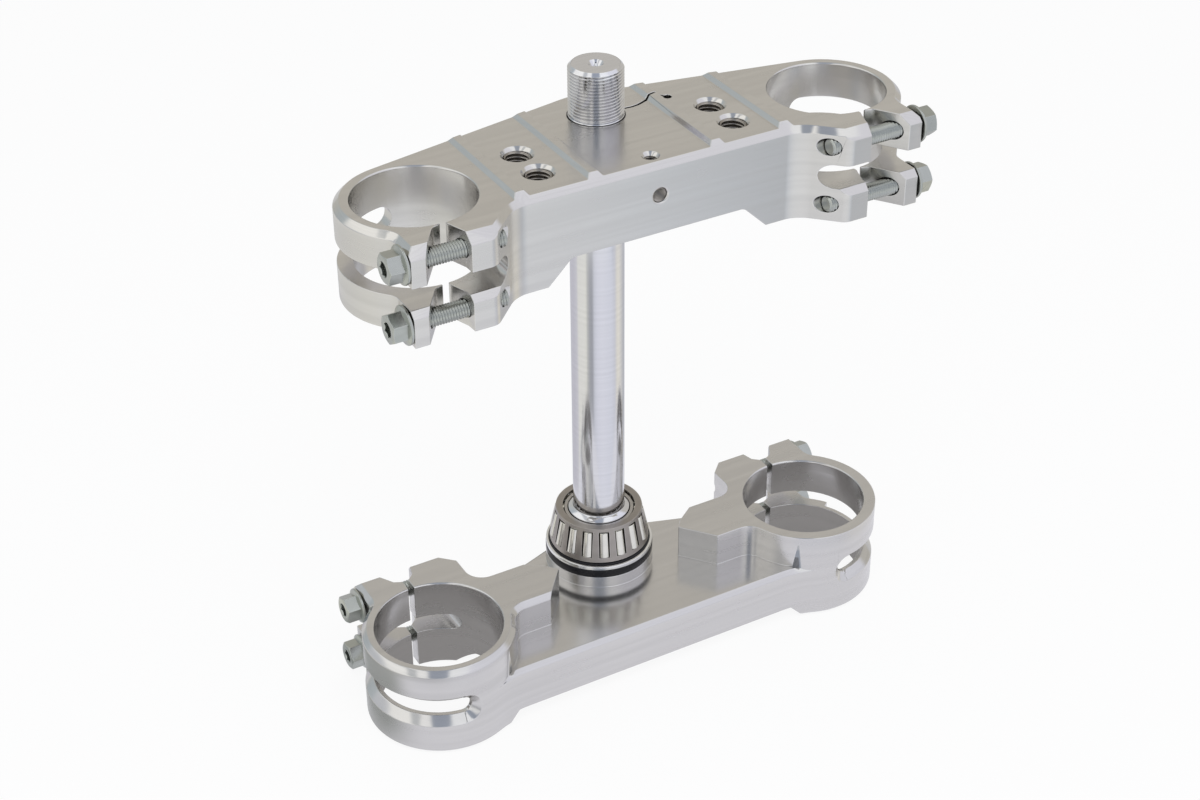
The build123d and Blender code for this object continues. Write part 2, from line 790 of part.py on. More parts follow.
def window_body():
    # What the first window takes out, widening towards the roller's axis.
    with BuildPart() as window:
        with BuildSketch(roller_lean):
            with BuildLine():
                Polyline(
                    (wall_in - cage_wall, -half_in - flare * cage_wall),
                    (wall_out + cage_wall, -half_out + flare * cage_wall),
                    (wall_out + cage_wall, half_out - flare * cage_wall),
                    (wall_in - cage_wall, half_in + flare * cage_wall),
                    close=True,
                )
            make_face()
        extrude(amount=roller_length + window_room)
    return window.part


with BuildPart() as bearing_cage:
    add(
        turned(
            [
                (cage_low_r - cage_wall, cage_low),
                (cage_low_r, cage_low),
                (cage_high_r, cage_high),
                (race_lip_dia / 2 + cage_lip_gap, cage_high),
                (race_lip_dia / 2 + cage_lip_gap, cage_high - cage_wall),
                (cage_high_r - cage_wall - cage_slope * cage_wall, cage_high - cage_wall),
            ]
        )
    )
    revolve(axis=Axis.Z)
    with PolarLocations(0, roller_count, cage_phase):
        add(window_body(), mode=Mode.SUBTRACT)
bearing_cage.part.label = "bearing_cage"

# Dust seal, with a neck that the steel ring sits on
seal_flange_top = boss_top + seal_flange
seal_neck_top = seal_flange_top + seal_neck
seal_step_top = seal_neck_top - seal_step
washer_top = seal_flange_top + washer_height
seal_step_r = race_rib_dia / 2 + seal_step_gap
seal_neck_r = seal_step_r + seal_neck_wall
washer_r = seal_neck_r + washer_width
seal_r = washer_r + seal_margin
with BuildPart() as dust_seal:
    add(
        turned(
            [
                (collar_dia / 2 + fit_gap, boss_top + fit_gap),
                (seal_r, boss_top + fit_gap),
                (seal_r, seal_flange_top - edge_break),
                (seal_r - edge_break, seal_flange_top),
                (seal_neck_r, seal_flange_top),
                (seal_neck_r, seal_neck_top),
                (seal_step_r, seal_neck_top),
                (seal_step_r, seal_step_top),
                (collar_dia / 2 + fit_gap, seal_step_top),
            ]
        )
    )
    revolve(axis=Axis.Z)
dust_seal.part.label = "dust_seal"

with BuildPart() as seal_washer:
    add(
        turned(
            [
                (seal_neck_r + fit_gap, seal_flange_top + fit_gap),
                (washer_r, seal_flange_top + fit_gap),
                (washer_r, washer_top - edge_break),
                (washer_r - edge_break, washer_top),
                (seal_neck_r + fit_gap, washer_top),
            ]
        )
    )
    revolve(axis=Axis.Z)
seal_washer.part.label = "seal_washer"


def hex_flange_bolt(seat, length):
    # Head towards the seat plane's normal, with a hexagon socket in the head.
    with BuildPart() as bolt:
        with BuildSketch(seat):
            RegularPolygon(hex_across / 2, 6, major_radius=False)
        extrude(amount=head_height)
        chamfer(bolt.faces().sort_by(Axis(seat.origin, seat.z_dir))[-1].edges(), hex_chamfer)
        with BuildSketch(seat):
            Circle(flange_dia / 2)
        extrude(amount=flange_height, taper=flange_taper)
        with BuildSketch(seat):
            Circle(bolt_dia / 2)
        extrude(amount=-length)
        chamfer(bolt.faces().sort_by(Axis(seat.origin, seat.z_dir))[0].edges(), thread_lead)
        with BuildSketch(seat.offset(head_height)):
            RegularPolygon(socket_across / 2, 6, major_radius=False)
        extrude(amount=-socket_depth, mode=Mode.SUBTRACT)
    return bolt.part


pinch_bolts = {}
for clamp, seat_x, y, heights in (
    ("upper", upper_lug_side, -upper_bolt_y, upper_bolt_z),
    ("lower", lower_lug_side, lower_bolt_y, lower_bolt_z),
):
    for side, rider_side in ((-1, "right"), (1, "left")):
        for z, level in zip(heights, ("top", "low")):
            seat = Plane(origin=(side * (seat_x + head_gap), y, z), z_dir=(side, 0, 0))
            label = clamp + "_bolt_" + rider_side + "_" + level
            pinch_bolts[label] = hex_flange_bolt(seat, bolt_length)
            pinch_bolts[label].label = label

with BuildPart() as stem_pinch_bolt:
    with BuildSketch(Plane.XZ.offset(-stem_screw_seat)):
        with Locations((stem_screw_x, stem_screw_z)):
            Circle(bolt_dia / 2)
    extrude(amount=stem_screw_length)
    with BuildSketch(Plane.XZ.offset(-stem_screw_seat)):
        with Locations((stem_screw_x, stem_screw_z)):
            Circle(stem_screw_head_dia / 2)
    extrude(amount=-stem_screw_head)
    chamfer(stem_pinch_bolt.faces().sort_by(Axis.Y)[-1].edges(), hex_chamfer)
    with BuildSketch(Plane.XZ.offset(-stem_screw_seat - stem_screw_head)):
        with Locations((stem_screw_x, stem_screw_z)):
            RegularPolygon(socket_across / 2, 6, major_radius=False)
    extrude(amount=socket_depth, mode=Mode.SUBTRACT)
stem_pinch_bolt.part.label = "stem_pinch_bolt"

os.makedirs("parts", exist_ok=True)
for piece in (
    upper_clamp,
    lower_clamp,
    steering_stem,
    bearing_inner_race,
    bearing_cage,
    dust_seal,
    seal_washer,
    stem_pinch_bolt,
):
    export_step(piece.part, "parts/" + piece.part.label + ".step")
for label, bolt in pinch_bolts.items():
    export_step(bolt, "parts/" + label + ".step")
for number in range(roller_count):
    with BuildPart() as bearing_roller:
        with Locations(Rotation(0, 0, cage_phase + number * 360 / roller_count)):
            add(roller_body())
    bearing_roller.part.label = f"bearing_roller_{number + 1:02d}"
    export_step(bearing_roller.part, "parts/" + bearing_roller.part.label + ".step")
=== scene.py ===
import json
from math import ceil, cos, pi, radians, sin

import bmesh
import bpy
from mathutils import Matrix, Vector

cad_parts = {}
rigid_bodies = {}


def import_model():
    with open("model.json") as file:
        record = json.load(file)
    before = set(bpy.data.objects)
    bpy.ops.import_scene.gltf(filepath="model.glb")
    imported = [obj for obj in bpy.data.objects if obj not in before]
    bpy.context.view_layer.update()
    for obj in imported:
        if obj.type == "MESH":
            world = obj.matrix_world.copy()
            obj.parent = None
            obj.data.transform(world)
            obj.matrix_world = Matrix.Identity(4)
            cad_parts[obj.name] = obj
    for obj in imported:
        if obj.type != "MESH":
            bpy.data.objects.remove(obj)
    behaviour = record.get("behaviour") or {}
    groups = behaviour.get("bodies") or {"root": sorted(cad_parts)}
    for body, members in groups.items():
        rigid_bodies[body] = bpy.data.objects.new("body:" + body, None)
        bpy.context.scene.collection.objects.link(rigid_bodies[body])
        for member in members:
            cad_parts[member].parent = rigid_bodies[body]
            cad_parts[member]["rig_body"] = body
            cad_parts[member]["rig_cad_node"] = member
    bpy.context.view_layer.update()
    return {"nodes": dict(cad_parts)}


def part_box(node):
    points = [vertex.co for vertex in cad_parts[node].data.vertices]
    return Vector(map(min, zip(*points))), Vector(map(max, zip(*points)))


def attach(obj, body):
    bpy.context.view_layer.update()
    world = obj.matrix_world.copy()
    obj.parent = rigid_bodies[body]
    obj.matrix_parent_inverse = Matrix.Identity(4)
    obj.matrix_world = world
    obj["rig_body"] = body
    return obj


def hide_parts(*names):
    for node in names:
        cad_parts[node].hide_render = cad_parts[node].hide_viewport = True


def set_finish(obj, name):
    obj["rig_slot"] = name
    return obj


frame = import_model()
nodes = frame["nodes"]
mm = 0.001

# %% [markdown]
# ## The camera
# The photograph was taken from the front and the rider's right, from above, with a long
# lens. A camera can be aimed by eye, by a target, or by its turn and tilt. Turn and tilt
# are used here, because the edges of the clamps give both to a tenth of a degree. The
# small shift stands for the crop of the picture.
# %% Camera
camera_place = (-0.410815, -0.733777, 0.677043)
camera_turn = radians(-28.341)
camera_tilt = radians(32.367)
camera_roll = radians(-0.879)
camera_lens = 63.72
camera_shift = (0.02537, -0.03246)
level = Vector((cos(camera_turn), sin(camera_turn), 0))
back = Vector(
    (sin(camera_turn) * cos(camera_tilt), -cos(camera_turn) * cos(camera_tilt), sin(camera_tilt))
)
upright = back.cross(level)
across = level * cos(camera_roll) + upright * sin(camera_roll)
above = upright * cos(camera_roll) - level * sin(camera_roll)
bpy.ops.object.camera_add(location=camera_place)
camera = bpy.context.object
camera.name = "camera"
camera.rotation_euler = Matrix((across, above, back)).transposed().to_euler()
camera.data.sensor_width = 36
camera.data.lens = camera_lens
camera.data.shift_x, camera.data.shift_y = camera_shift
bpy.context.scene.camera = camera
bpy.context.scene.view_settings.view_transform = "Standard"
print("camera at", camera.location)

# %% [markdown]
# ## Small helpers
# An operator acts on all that is selected, so each step first selects one object alone.
# A shader is a graph of nodes. It could be clicked together, but in a script the graph
# stays readable when each node or sum takes one line, so a few helpers place the nodes,
# do sums with them and blend their colours. None of them holds looks of its own.
# %% Helpers for pieces


def only(piece):
    # Select one piece and make it active.
    bpy.ops.object.select_all(action="DESELECT")
    piece.select_set(True)
    bpy.context.view_layer.objects.active = piece


def edit(piece):
    only(piece)
    bpy.ops.object.mode_set(mode="EDIT")
    bpy.ops.mesh.select_all(action="SELECT")


def leave():
    bpy.ops.object.mode_set(mode="OBJECT")


def put(piece, body, slot, *replaced):
    # Hand a finished piece to the frame: its body, its finish and what it stands for.
    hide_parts(*replaced)
    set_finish(piece, slot)
    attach(piece, body)


print("helpers for pieces ready")

# %% Helpers for nodes and sums


def node(tree, kind, place, **values):
    # A shader node at a grid place, with its settings given by name.
    made = tree.nodes.new(kind)
    made.location = (place[0] * 200, -place[1] * 200)
    for name, value in values.items():
        setattr(made, name, value)
    return made


def join(tree, start, end):
    tree.links.new(start, end)


def calculate(tree, operation, first, second, place):
    # A sum of one or two values, each a number or an output.
    made = node(tree, "ShaderNodeMath", place, operation=operation)
    for socket, value in ((made.inputs[0], first), (made.inputs[1], second)):
        if isinstance(value, (int, float)):
            socket.default_value = value
        elif value is not None:
            join(tree, value, socket)
    return made.outputs[0]


def times(tree, first, second, place):
    return calculate(tree, "MULTIPLY", first, second, place)


def smooth(tree, value, low, high, place):
    # 0 below low, 1 above high, a soft step between.
    step = node(tree, "ShaderNodeMapRange", place, interpolation_type="SMOOTHSTEP")
    step.inputs["From Min"].default_value = low
    step.inputs["From Max"].default_value = high
    join(tree, value, step.inputs["Value"])
    return step.outputs["Result"]


def away(tree, point, centre, place):
    # How far a point lies from a centre.
    made = node(tree, "ShaderNodeVectorMath", place, operation="DISTANCE")
    join(tree, point, made.inputs[0])
    made.inputs[1].default_value = centre
    return made.outputs["Value"]


def along(tree, vector, line, place):
    # How much of a vector runs along a line.
    made = node(tree, "ShaderNodeVectorMath", place, operation="DOT_PRODUCT")
    join(tree, vector, made.inputs[0])
    made.inputs[1].default_value = line
    return made.outputs["Value"]


print("helpers for nodes ready")

# %% Helpers that blend


def blended(tree, share, first, second, place):
    # A colour between two, each a colour value or an output.
    made = node(tree, "ShaderNodeMix", place, data_type="RGBA")
    join(tree, share, made.inputs["Factor"])
    for socket, value in ((made.inputs[6], first), (made.inputs[7], second)):
        if isinstance(value, tuple):
            socket.default_value = value
        else:
            join(tree, value, socket)
    return made.outputs[2]


def mixed_value(tree, share, first, second, place):
    # A value between two, each a number or an output.
    made = node(tree, "ShaderNodeMix", place, data_type="FLOAT")
    join(tree, share, made.inputs["Factor"])
    for socket, value in ((made.inputs[2], first), (made.inputs[3], second)):
        if isinstance(value, float):
            socket.default_value = value
        else:
            join(tree, value, socket)
    return made.outputs[0]


def banded(tree, value, low, high, bands, place):
    # Colours at given values between low and high.
    scaled = node(tree, "ShaderNodeMapRange", place)
    scaled.inputs["From Min"].default_value = low
    scaled.inputs["From Max"].default_value = high
    join(tree, value, scaled.inputs["Value"])
    made = node(tree, "ShaderNodeValToRGB", (place[0] + 1, place[1]))
    ramp = made.color_ramp
    while len(ramp.elements) < len(bands):
        ramp.elements.new(0.5)
    for stop, (at, tint) in zip(ramp.elements, bands):
        stop.position = (at - low) / (high - low)
        stop.color = tint + (1,)
    join(tree, scaled.outputs["Result"], made.inputs[0])
    return made.outputs["Color"]


print("helpers that blend ready")

# %% [markdown]
# ## The studio
# Polished metal shows the room more than its own colour. A real product picture of this
# kind is taken on a white table, with soft lamps above and sheets of paper laid out round
# the object, so that each face mirrors something pale or grey. The room could be an image,
# but plain shapes are clearer: a floor, one soft lamp and a world of broad bands. The
# camera sees a white floor with the object's shadow on it, and glossy rays see the paper.
# %% Floor
bpy.ops.mesh.primitive_plane_add(size=8, location=(0, 0, -0.2 * mm))
floor = bpy.context.object
floor.name = "floor"
table = bpy.data.materials.new("white_table")
table.use_nodes = True
tree = table.node_tree
tree.nodes.clear()
out = node(tree, "ShaderNodeOutputMaterial", (11, 0))
paper = node(tree, "ShaderNodeBsdfDiffuse", (8, 0))
paper.inputs["Color"].default_value = (0.90, 0.90, 0.91, 1)
bright = node(tree, "ShaderNodeEmission", (8, 1))
path = node(tree, "ShaderNodeLightPath", (7, 2))
white_share = times(tree, path.outputs["Is Camera Ray"], 0.90, (8, 2))
mix = node(tree, "ShaderNodeMixShader", (9, 0))
join(tree, white_share, mix.inputs[0])
join(tree, paper.outputs[0], mix.inputs[1])
join(tree, bright.outputs[0], mix.inputs[2])
floor.data.materials.append(table)
print("floor", floor.dimensions)

# %% Sheets of tinted paper
# Colours by the direction from the stem, in degrees from +X: close by and far out.
sheets = (
    (-180, (0.95, 0.94, 0.86)),
    (-168, (0.93, 0.92, 0.82)),
    (-163, (0.62, 0.62, 0.58)),
    (-152, (0.36, 0.37, 0.40)),
    (-141, (0.33, 0.34, 0.38)),
    (-133, (0.70, 0.72, 0.80)),
    (-120, (0.84, 0.85, 0.95)),
    (-100, (0.88, 0.89, 0.98)),
    (-60, (0.82, 0.84, 0.94)),
    (-42, (0.74, 0.75, 0.82)),
    (-30, (0.92, 0.88, 0.78)),
    (-18, (0.97, 0.93, 0.82)),
    (-5, (0.80, 0.78, 0.74)),
    (20, (0.50, 0.51, 0.55)),
    (62, (0.56, 0.56, 0.62)),
    (120, (0.62, 0.61, 0.68)),
    (144, (0.72, 0.71, 0.76)),
    (153, (0.92, 0.91, 0.84)),
    (180, (0.95, 0.94, 0.86)),
)
far_sheets = (
    (-180, (0.90, 0.90, 0.86)),
    (-110, (0.95, 0.97, 1.00)),
    (-82, (0.93, 0.96, 1.00)),
    (-68, (0.84, 0.88, 0.95)),
    (-57, (0.66, 0.72, 0.81)),
    (-53, (0.48, 0.52, 0.59)),
    (-48, (0.60, 0.62, 0.66)),
    (-30, (0.80, 0.80, 0.80)),
    (40, (0.60, 0.60, 0.62)),
    (180, (0.90, 0.90, 0.86)),
)
clean_table = (0.90, 0.90, 0.96, 1)
# Painted shadow for the mirrored floor: beside the rider's right ring and inside both rings
painted_corner_shadow = (0.32, 0.34, 0.33, 1)
painted_ring_shadow = (0.32, 0.31, 0.31, 1)
print(len(sheets), "near stops and", len(far_sheets), "far stops")

# %% Where the sheets lie
fork_x, fork_y = 101.5 * mm, -28.7 * mm
place = node(tree, "ShaderNodeTexCoord", (0, 4))
parts = node(tree, "ShaderNodeSeparateXYZ", (1, 4))
spot = place.outputs["Object"]
join(tree, spot, parts.inputs[0])
turn = calculate(tree, "ARCTAN2", parts.outputs[1], parts.outputs[0], (2, 4))
turn = calculate(tree, "DEGREES", turn, None, (3, 4))
near_tint = banded(tree, turn, -180, 180, sheets, (4, 4))
far_tint = banded(tree, turn, -180, 180, far_sheets, (4, 5))
from_stem = away(tree, spot, (0, 0, 0), (2, 6))
from_right = away(tree, spot, (-fork_x, fork_y, 0), (2, 7))
from_left = away(tree, spot, (fork_x, fork_y, 0), (2, 8))
from_ring = calculate(tree, "MINIMUM", from_right, from_left, (3, 7))
far_out = smooth(tree, from_stem, 0.36, 0.42, (3, 6))
tint = blended(tree, far_out, near_tint, far_tint, (6, 5))
print("sheets laid out")

# %% Clean close to the clamps, painted shadow in the rings and beside one ring
by_stem = smooth(tree, from_stem, 0.115, 0.100, (4, 6))
by_ring = smooth(tree, from_ring, 0.105, 0.085, (4, 7))
close = calculate(tree, "MAXIMUM", by_stem, by_ring, (5, 6))
tint = blended(tree, close, tint, clean_table, (7, 5))
# Painted shadow on the mirrored floor beside the outer, rear side of the rider's right ring
to_right = smooth(tree, parts.outputs[0], -0.122, -0.150, (4, 8))
to_rear = smooth(tree, parts.outputs[1], -0.070, -0.030, (4, 9))
corner = times(tree, times(tree, to_right, to_rear, (5, 8)), close, (6, 8))
tint = blended(tree, corner, tint, painted_corner_shadow, (8, 5))
# Painted shadow on the mirrored floor inside the rings, where they shade the table
hole = smooth(tree, from_ring, 0.036, 0.028, (5, 7))
tint = blended(tree, hole, tint, painted_ring_shadow, (9, 5))
print("floor of", len(tree.nodes), "nodes so far")

# %% What glossy rays see on the floor
glow = node(tree, "ShaderNodeEmission", (9, 3))
join(tree, tint, glow.inputs["Color"])
mirror_share = times(tree, path.outputs["Is Glossy Ray"], 0.8, (9, 2))
mirrored = node(tree, "ShaderNodeMixShader", (10, 1))
join(tree, mirror_share, mirrored.inputs[0])
join(tree, mix.outputs[0], mirrored.inputs[1])
join(tree, glow.outputs[0], mirrored.inputs[2])
join(tree, mirrored.outputs[0], out.inputs["Surface"])
print("floor of", len(tree.nodes), "nodes")

# %% [markdown]
# ## The room above the floor
# What doesn't face the floor mirrors the room: bright lamps with dark gaps between them to
# the front and above, and a grey wall behind the object. Lamps and cards could stand there
# as objects, but a world that is coloured by direction gives both in a few nodes. It fades
# from one to the other by how far a direction points to the front. Plain light comes from
# a third, even colour, and the camera sees white.
# %% Bands of the room
lamp_line = (0.8801, -0.4747, 0)
front_line = (-0.4747, -0.8801, 0)
lamp_bands = (
    (-1.0, (0.62, 0.64, 0.68)),
    (-0.90, (0.70, 0.72, 0.76)),
    (-0.84, (1.10, 1.10, 1.08)),
    (-0.60, (1.15, 1.15, 1.13)),
    (-0.54, (0.66, 0.68, 0.70)),
    (-0.44, (0.66, 0.68, 0.70)),
    (-0.38, (1.10, 1.10, 1.10)),
    (-0.24, (1.10, 1.10, 1.10)),
    (-0.17, (0.40, 0.44, 0.52)),
    (0.15, (0.42, 0.46, 0.54)),
    (0.22, (1.10, 1.12, 1.15)),
    (0.50, (1.05, 1.07, 1.12)),
    (0.58, (0.92, 0.93, 1.02)),
    (1.0, (0.84, 0.85, 0.92)),
)
wall_bands = (
    (-1.0, (0.62, 0.66, 0.70)),
    (-0.60, (0.56, 0.61, 0.64)),
    (-0.45, (0.52, 0.57, 0.60)),
    (-0.20, (0.58, 0.585, 0.56)),
    (0.30, (0.61, 0.585, 0.54)),
    (1.0, (0.62, 0.60, 0.56)),
)
print(len(lamp_bands), "lamp stops and", len(wall_bands), "wall stops")

# %% World
world = bpy.data.worlds.new("studio")
bpy.context.scene.world = world
world.use_nodes = True
tree = world.node_tree
tree.nodes.clear()
out = node(tree, "ShaderNodeOutputWorld", (10, 0))
place = node(tree, "ShaderNodeTexCoord", (0, 1))
parts = node(tree, "ShaderNodeSeparateXYZ", (1, 1))
seen_from = place.outputs["Generated"]
join(tree, seen_from, parts.inputs[0])
across_room = along(tree, seen_from, lamp_line, (1, 2))
to_front = along(tree, seen_from, front_line, (1, 3))
lamps = banded(tree, across_room, -1, 1, lamp_bands, (2, 2))
wall = banded(tree, parts.outputs[0], -1, 1, wall_bands, (2, 1))
room = blended(tree, smooth(tree, to_front, -0.42, -0.26, (4, 3)), wall, lamps, (5, 1))
seen = node(tree, "ShaderNodeBackground", (7, 0))
seen.inputs["Color"].default_value = (1, 1, 1, 1)
mirrored = node(tree, "ShaderNodeBackground", (7, 1))
join(tree, room, mirrored.inputs["Color"])
ambient = node(tree, "ShaderNodeBackground", (7, 2))
ambient.inputs["Color"].default_value = (0.97, 0.98, 1.0, 1)
ambient.inputs["Strength"].default_value = 0.7
path = node(tree, "ShaderNodeLightPath", (6, 3))
mix = node(tree, "ShaderNodeMixShader", (8, 1))
join(tree, path.outputs["Is Glossy Ray"], mix.inputs[0])
join(tree, ambient.outputs[0], mix.inputs[1])
join(tree, mirrored.outputs[0], mix.inputs[2])
last = node(tree, "ShaderNodeMixShader", (9, 0))
join(tree, path.outputs["Is Camera Ray"], last.inputs[0])
join(tree, mix.outputs[0], last.inputs[1])
join(tree, seen.outputs[0], last.inputs[2])
join(tree, last.outputs[0], out.inputs["Surface"])
print("world of", len(tree.nodes), "nodes")

# %% Lamp
# It gives light and soft shadows, and the metal mirrors the bands of the room instead.
lamp_place = (-0.25, -0.75, 1.5)
lamp_facing = Vector((-0.25, -0.75, 1.4))
bpy.ops.object.light_add(type="AREA", location=lamp_place)
lamp = bpy.context.object
lamp.name = "soft_lamp"
lamp.data.shape = "RECTANGLE"
lamp.data.size = 1.2
lamp.data.size_y = 0.9
lamp.data.energy = 9
lamp.visible_glossy = False
lamp.rotation_euler = lamp_facing.to_track_quat("Z", "Y").to_euler()
print("lamp of", lamp.data.energy, "W")

# %% [markdown]
# ## Rounded edges on the milled clamps
# A milled edge is never knife sharp: a file or a tumbler takes off a few tenths, and that
# narrow strip catches the light. The clamps could be modelled again, but the CAD solids
# already have the right shape, so a copy of each is enough. Its triangles are first merged
# into one skin, flat faces are made whole again, and a bevel rounds each edge where two
# faces meet at more than 36 degrees.
# %% Choose and round the edges
narrow_point = radians(35)
clear_of_point = 1.2 * mm


def choose_edges(piece, angle):
    # Weigh the sharp edges for the bevel. Where two of them meet in a narrow point a round
    # would fold over, so the edges near such a point stay as they are.
    shape = bmesh.new()
    shape.from_mesh(piece.data)
    weight = shape.edges.layers.float.new("bevel_weight_edge")
    sharp = [edge for edge in shape.edges if edge.is_manifold and edge.calc_face_angle() > angle]
    meeting = {}
    for edge in sharp:
        for corner in edge.verts:
            meeting.setdefault(corner, []).append(edge)
    narrow = []
    for corner, those in meeting.items():
        ways = [(edge.other_vert(corner).co - corner.co).normalized() for edge in those]
        pairs = [(one, other) for count, one in enumerate(ways) for other in ways[:count]]
        if any(one.dot(other) > cos(narrow_point) for one, other in pairs):
            narrow.append(corner.co.copy())
    for edge in sharp:
        gaps = [(corner.co - point).length for point in narrow for corner in edge.verts]
        edge[weight] = 0.0 if min(gaps, default=1.0) < clear_of_point else 1.0
    shape.to_mesh(piece.data)
    shape.free()


def round_edges(piece, width, angle):
    only(piece)
    choose_edges(piece, radians(angle))
    soft = piece.modifiers.new("round", "BEVEL")
    soft.width = width
    soft.segments = 2
    soft.limit_method = "WEIGHT"
    soft.use_clamp_overlap = False
    soft.miter_outer = "MITER_ARC"
    bpy.ops.object.modifier_apply(modifier=soft.name)
    bpy.ops.object.shade_smooth_by_angle(angle=radians(50))
    even = piece.modifiers.new("even", "WEIGHTED_NORMAL")
    even.keep_sharp = True
    bpy.ops.object.modifier_apply(modifier=even.name)


print("round_edges() ready")

# %% A finer copy of a CAD node


def refined(name, width, angle=36):
    # A merged copy of a CAD node with its sharp edges rounded.
    source = nodes[name]
    piece = source.copy()
    piece.data = source.data.copy()
    piece.name = name + "_body"
    piece.parent = None
    del piece["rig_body"]
    del piece["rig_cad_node"]
    bpy.context.scene.collection.objects.link(piece)
    piece.data.materials.clear()
    only(piece)
    if piece.data.has_custom_normals:
        bpy.ops.mesh.customdata_custom_splitnormals_clear()
    edit(piece)
    bpy.ops.mesh.remove_doubles(threshold=0.002 * mm)
    bpy.ops.mesh.dissolve_degenerate(threshold=0.06 * mm)
    bpy.ops.mesh.dissolve_limited(angle_limit=radians(0.2))
    leave()
    round_edges(piece, width, angle)
    return piece


print("refined() ready")

# %% The two clamps
upper = refined("upper_clamp", 0.30 * mm)
put(upper, "triple_clamp", "upper_aluminium", "upper_clamp")
lower = refined("lower_clamp", 0.35 * mm)
put(lower, "triple_clamp", "lower_aluminium", "lower_clamp")
print("upper", len(upper.data.polygons), "lower", len(lower.data.polygons), "faces")

# %% [markdown]
# ## Turned pieces
# The stem, the bearing's inner ring, the dust seal and its steel ring all come off a lathe.
# In Blender a lathe is the spin operator: an outline of corners in the half plane of the
# axis is swept once round. Each outline is drawn by extruding a point from corner to
# corner. The corners are the CAD's own sizes, with small rounds added.
# %% Spin an outline


def outline(name, corners, closed=True):
    # A chain of edges through (radius, height) corners, in millimetres, drawn by extrusion.
    bpy.ops.object.select_all(action="DESELECT")
    bpy.ops.mesh.primitive_plane_add(size=mm, location=(0, 0, 0))
    piece = bpy.context.object
    piece.name = name
    edit(piece)
    bpy.ops.mesh.merge(type="CENTER")
    at = Vector((0, 0, 0))
    for count, (radius, height) in enumerate(corners):
        step = Vector((radius * mm, 0, height * mm)) - at
        at += step
        if count == 0:
            bpy.ops.transform.translate(value=step)
        else:
            bpy.ops.mesh.extrude_region_move(TRANSFORM_OT_translate={"value": step})
    if closed:
        leave()
        for place in (0, len(corners) - 1):
            piece.data.vertices[place].select = True
        bpy.ops.object.mode_set(mode="EDIT")
        bpy.ops.mesh.edge_face_add()
    leave()
    return piece


def turned(name, corners, steps=128):
    piece = outline(name, corners)
    edit(piece)
    bpy.ops.mesh.spin(steps=steps, angle=2 * pi, center=(0, 0, 0), axis=(0, 0, 1))
    bpy.ops.mesh.select_all(action="SELECT")
    bpy.ops.mesh.remove_doubles(threshold=0.001 * mm)
    bpy.ops.mesh.normals_make_consistent(inside=False)
    leave()
    only(piece)
    bpy.ops.object.shade_smooth_by_angle(angle=radians(35))
    return piece


print("turned() ready")

# %% [markdown]
# ## Threads
# A thread is one tooth shape carried along a helix. A bump can imitate it, but the stem's
# thread and the bolts' threads show in outline here, so they are real shapes: a Screw
# modifier winds a single tooth, and two bisects cut the ends square. A nut's thread is
# the same winding seen from inside.
# %% Wind a thread


def wound(name, crest, root, pitch, low, high, steps, filled=True):
    # A thread between two heights, in millimetres: crest and root are radii.
    tooth = [
        (root, 0),
        (root, pitch * 0.10),
        (crest, pitch * 0.43),
        (crest, pitch * 0.57),
        (root, pitch * 0.90),
        (root, pitch),
    ]
    start = low - 1.5 * pitch
    piece = outline(name, [(radius, start + height) for radius, height in tooth], False)
    only(piece)
    helix = piece.modifiers.new("helix", "SCREW")
    helix.axis = "Z"
    helix.angle = 2 * pi
    helix.screw_offset = pitch * mm
    helix.iterations = ceil((high - low) / pitch) + 3
    helix.steps = steps
    helix.render_steps = steps
    bpy.ops.object.modifier_apply(modifier=helix.name)
    edit(piece)
    bpy.ops.mesh.remove_doubles(threshold=0.001 * mm)
    for height, inner in ((low, True), (high, False)):
        bpy.ops.mesh.select_all(action="SELECT")
        bpy.ops.mesh.bisect(
            plane_co=(0, 0, height * mm),
            plane_no=(0, 0, 1),
            threshold=0.0001 * mm,
            use_fill=filled,
            clear_inner=inner,
            clear_outer=not inner,
        )
    bpy.ops.mesh.select_all(action="SELECT")
    bpy.ops.mesh.normals_make_consistent(inside=False)
    leave()
    return piece


def combine(piece, tool, operation):
    # Join, cut or keep what two closed pieces share.
    only(piece)
    change = piece.modifiers.new("combine", "BOOLEAN")
    change.operation = operation
    change.object = tool
    change.solver = "EXACT"
    bpy.ops.object.modifier_apply(modifier=change.name)
    bpy.data.objects.remove(tool)
    return piece


print("wound() ready")

# %% [markdown]
# ## Steering stem
# The stem is turned and ground: a seat for the bearing, a shoulder, a long plain shaft and
# a threaded top with a centre hole. It is spun in one piece, and the thread is cut to the
# chamfered shape of a blank before it is joined on.
# %% Stem
stem_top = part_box("steering_stem")[1].z / mm
stem_r, bearing_seat_r, collar_r, bore_r = 12.5, 15, 19, 8.5
collar_low, collar_high = 36.02, 42.98
shoulder_low = 60.7
bore_top = 220
groove_low = 272.1
thread_low = 272.8
thread_root = 11.6
# The corners at 62.9 and 271.6 keep the shading straight on the long shaft between them.
stem = turned(
    "steering_stem_turned",
    [
        (bore_r, 0.3),
        (bore_r + 0.3, 0),
        (bearing_seat_r - 0.7, 0),
        (bearing_seat_r, 0.7),
        (bearing_seat_r, collar_low),
        (collar_r, collar_low),
        (collar_r, collar_high),
        (bearing_seat_r, collar_high),
        (bearing_seat_r, shoulder_low),
        (bearing_seat_r - 0.2, 60.95),
        (stem_r + 0.25, 62.15),
        (stem_r, 62.6),
        (stem_r, 62.9),
        (stem_r, 271.6),
        (stem_r, 271.9),
        (stem_r - 0.2, groove_low),
        (thread_root, groove_low),
        (thread_root, stem_top - 0.9),
        (thread_root - 0.9, stem_top),
        (3.7, stem_top),
        (3.4, stem_top - 0.2),
        (1.0, stem_top - 3.2),
        (0, stem_top - 3.2),
        (0, bore_top + bore_r),
        (bore_r, bore_top),
    ],
    steps=160,
)
print("shaft of", stem_r, "mm radius, top at", stem_top)

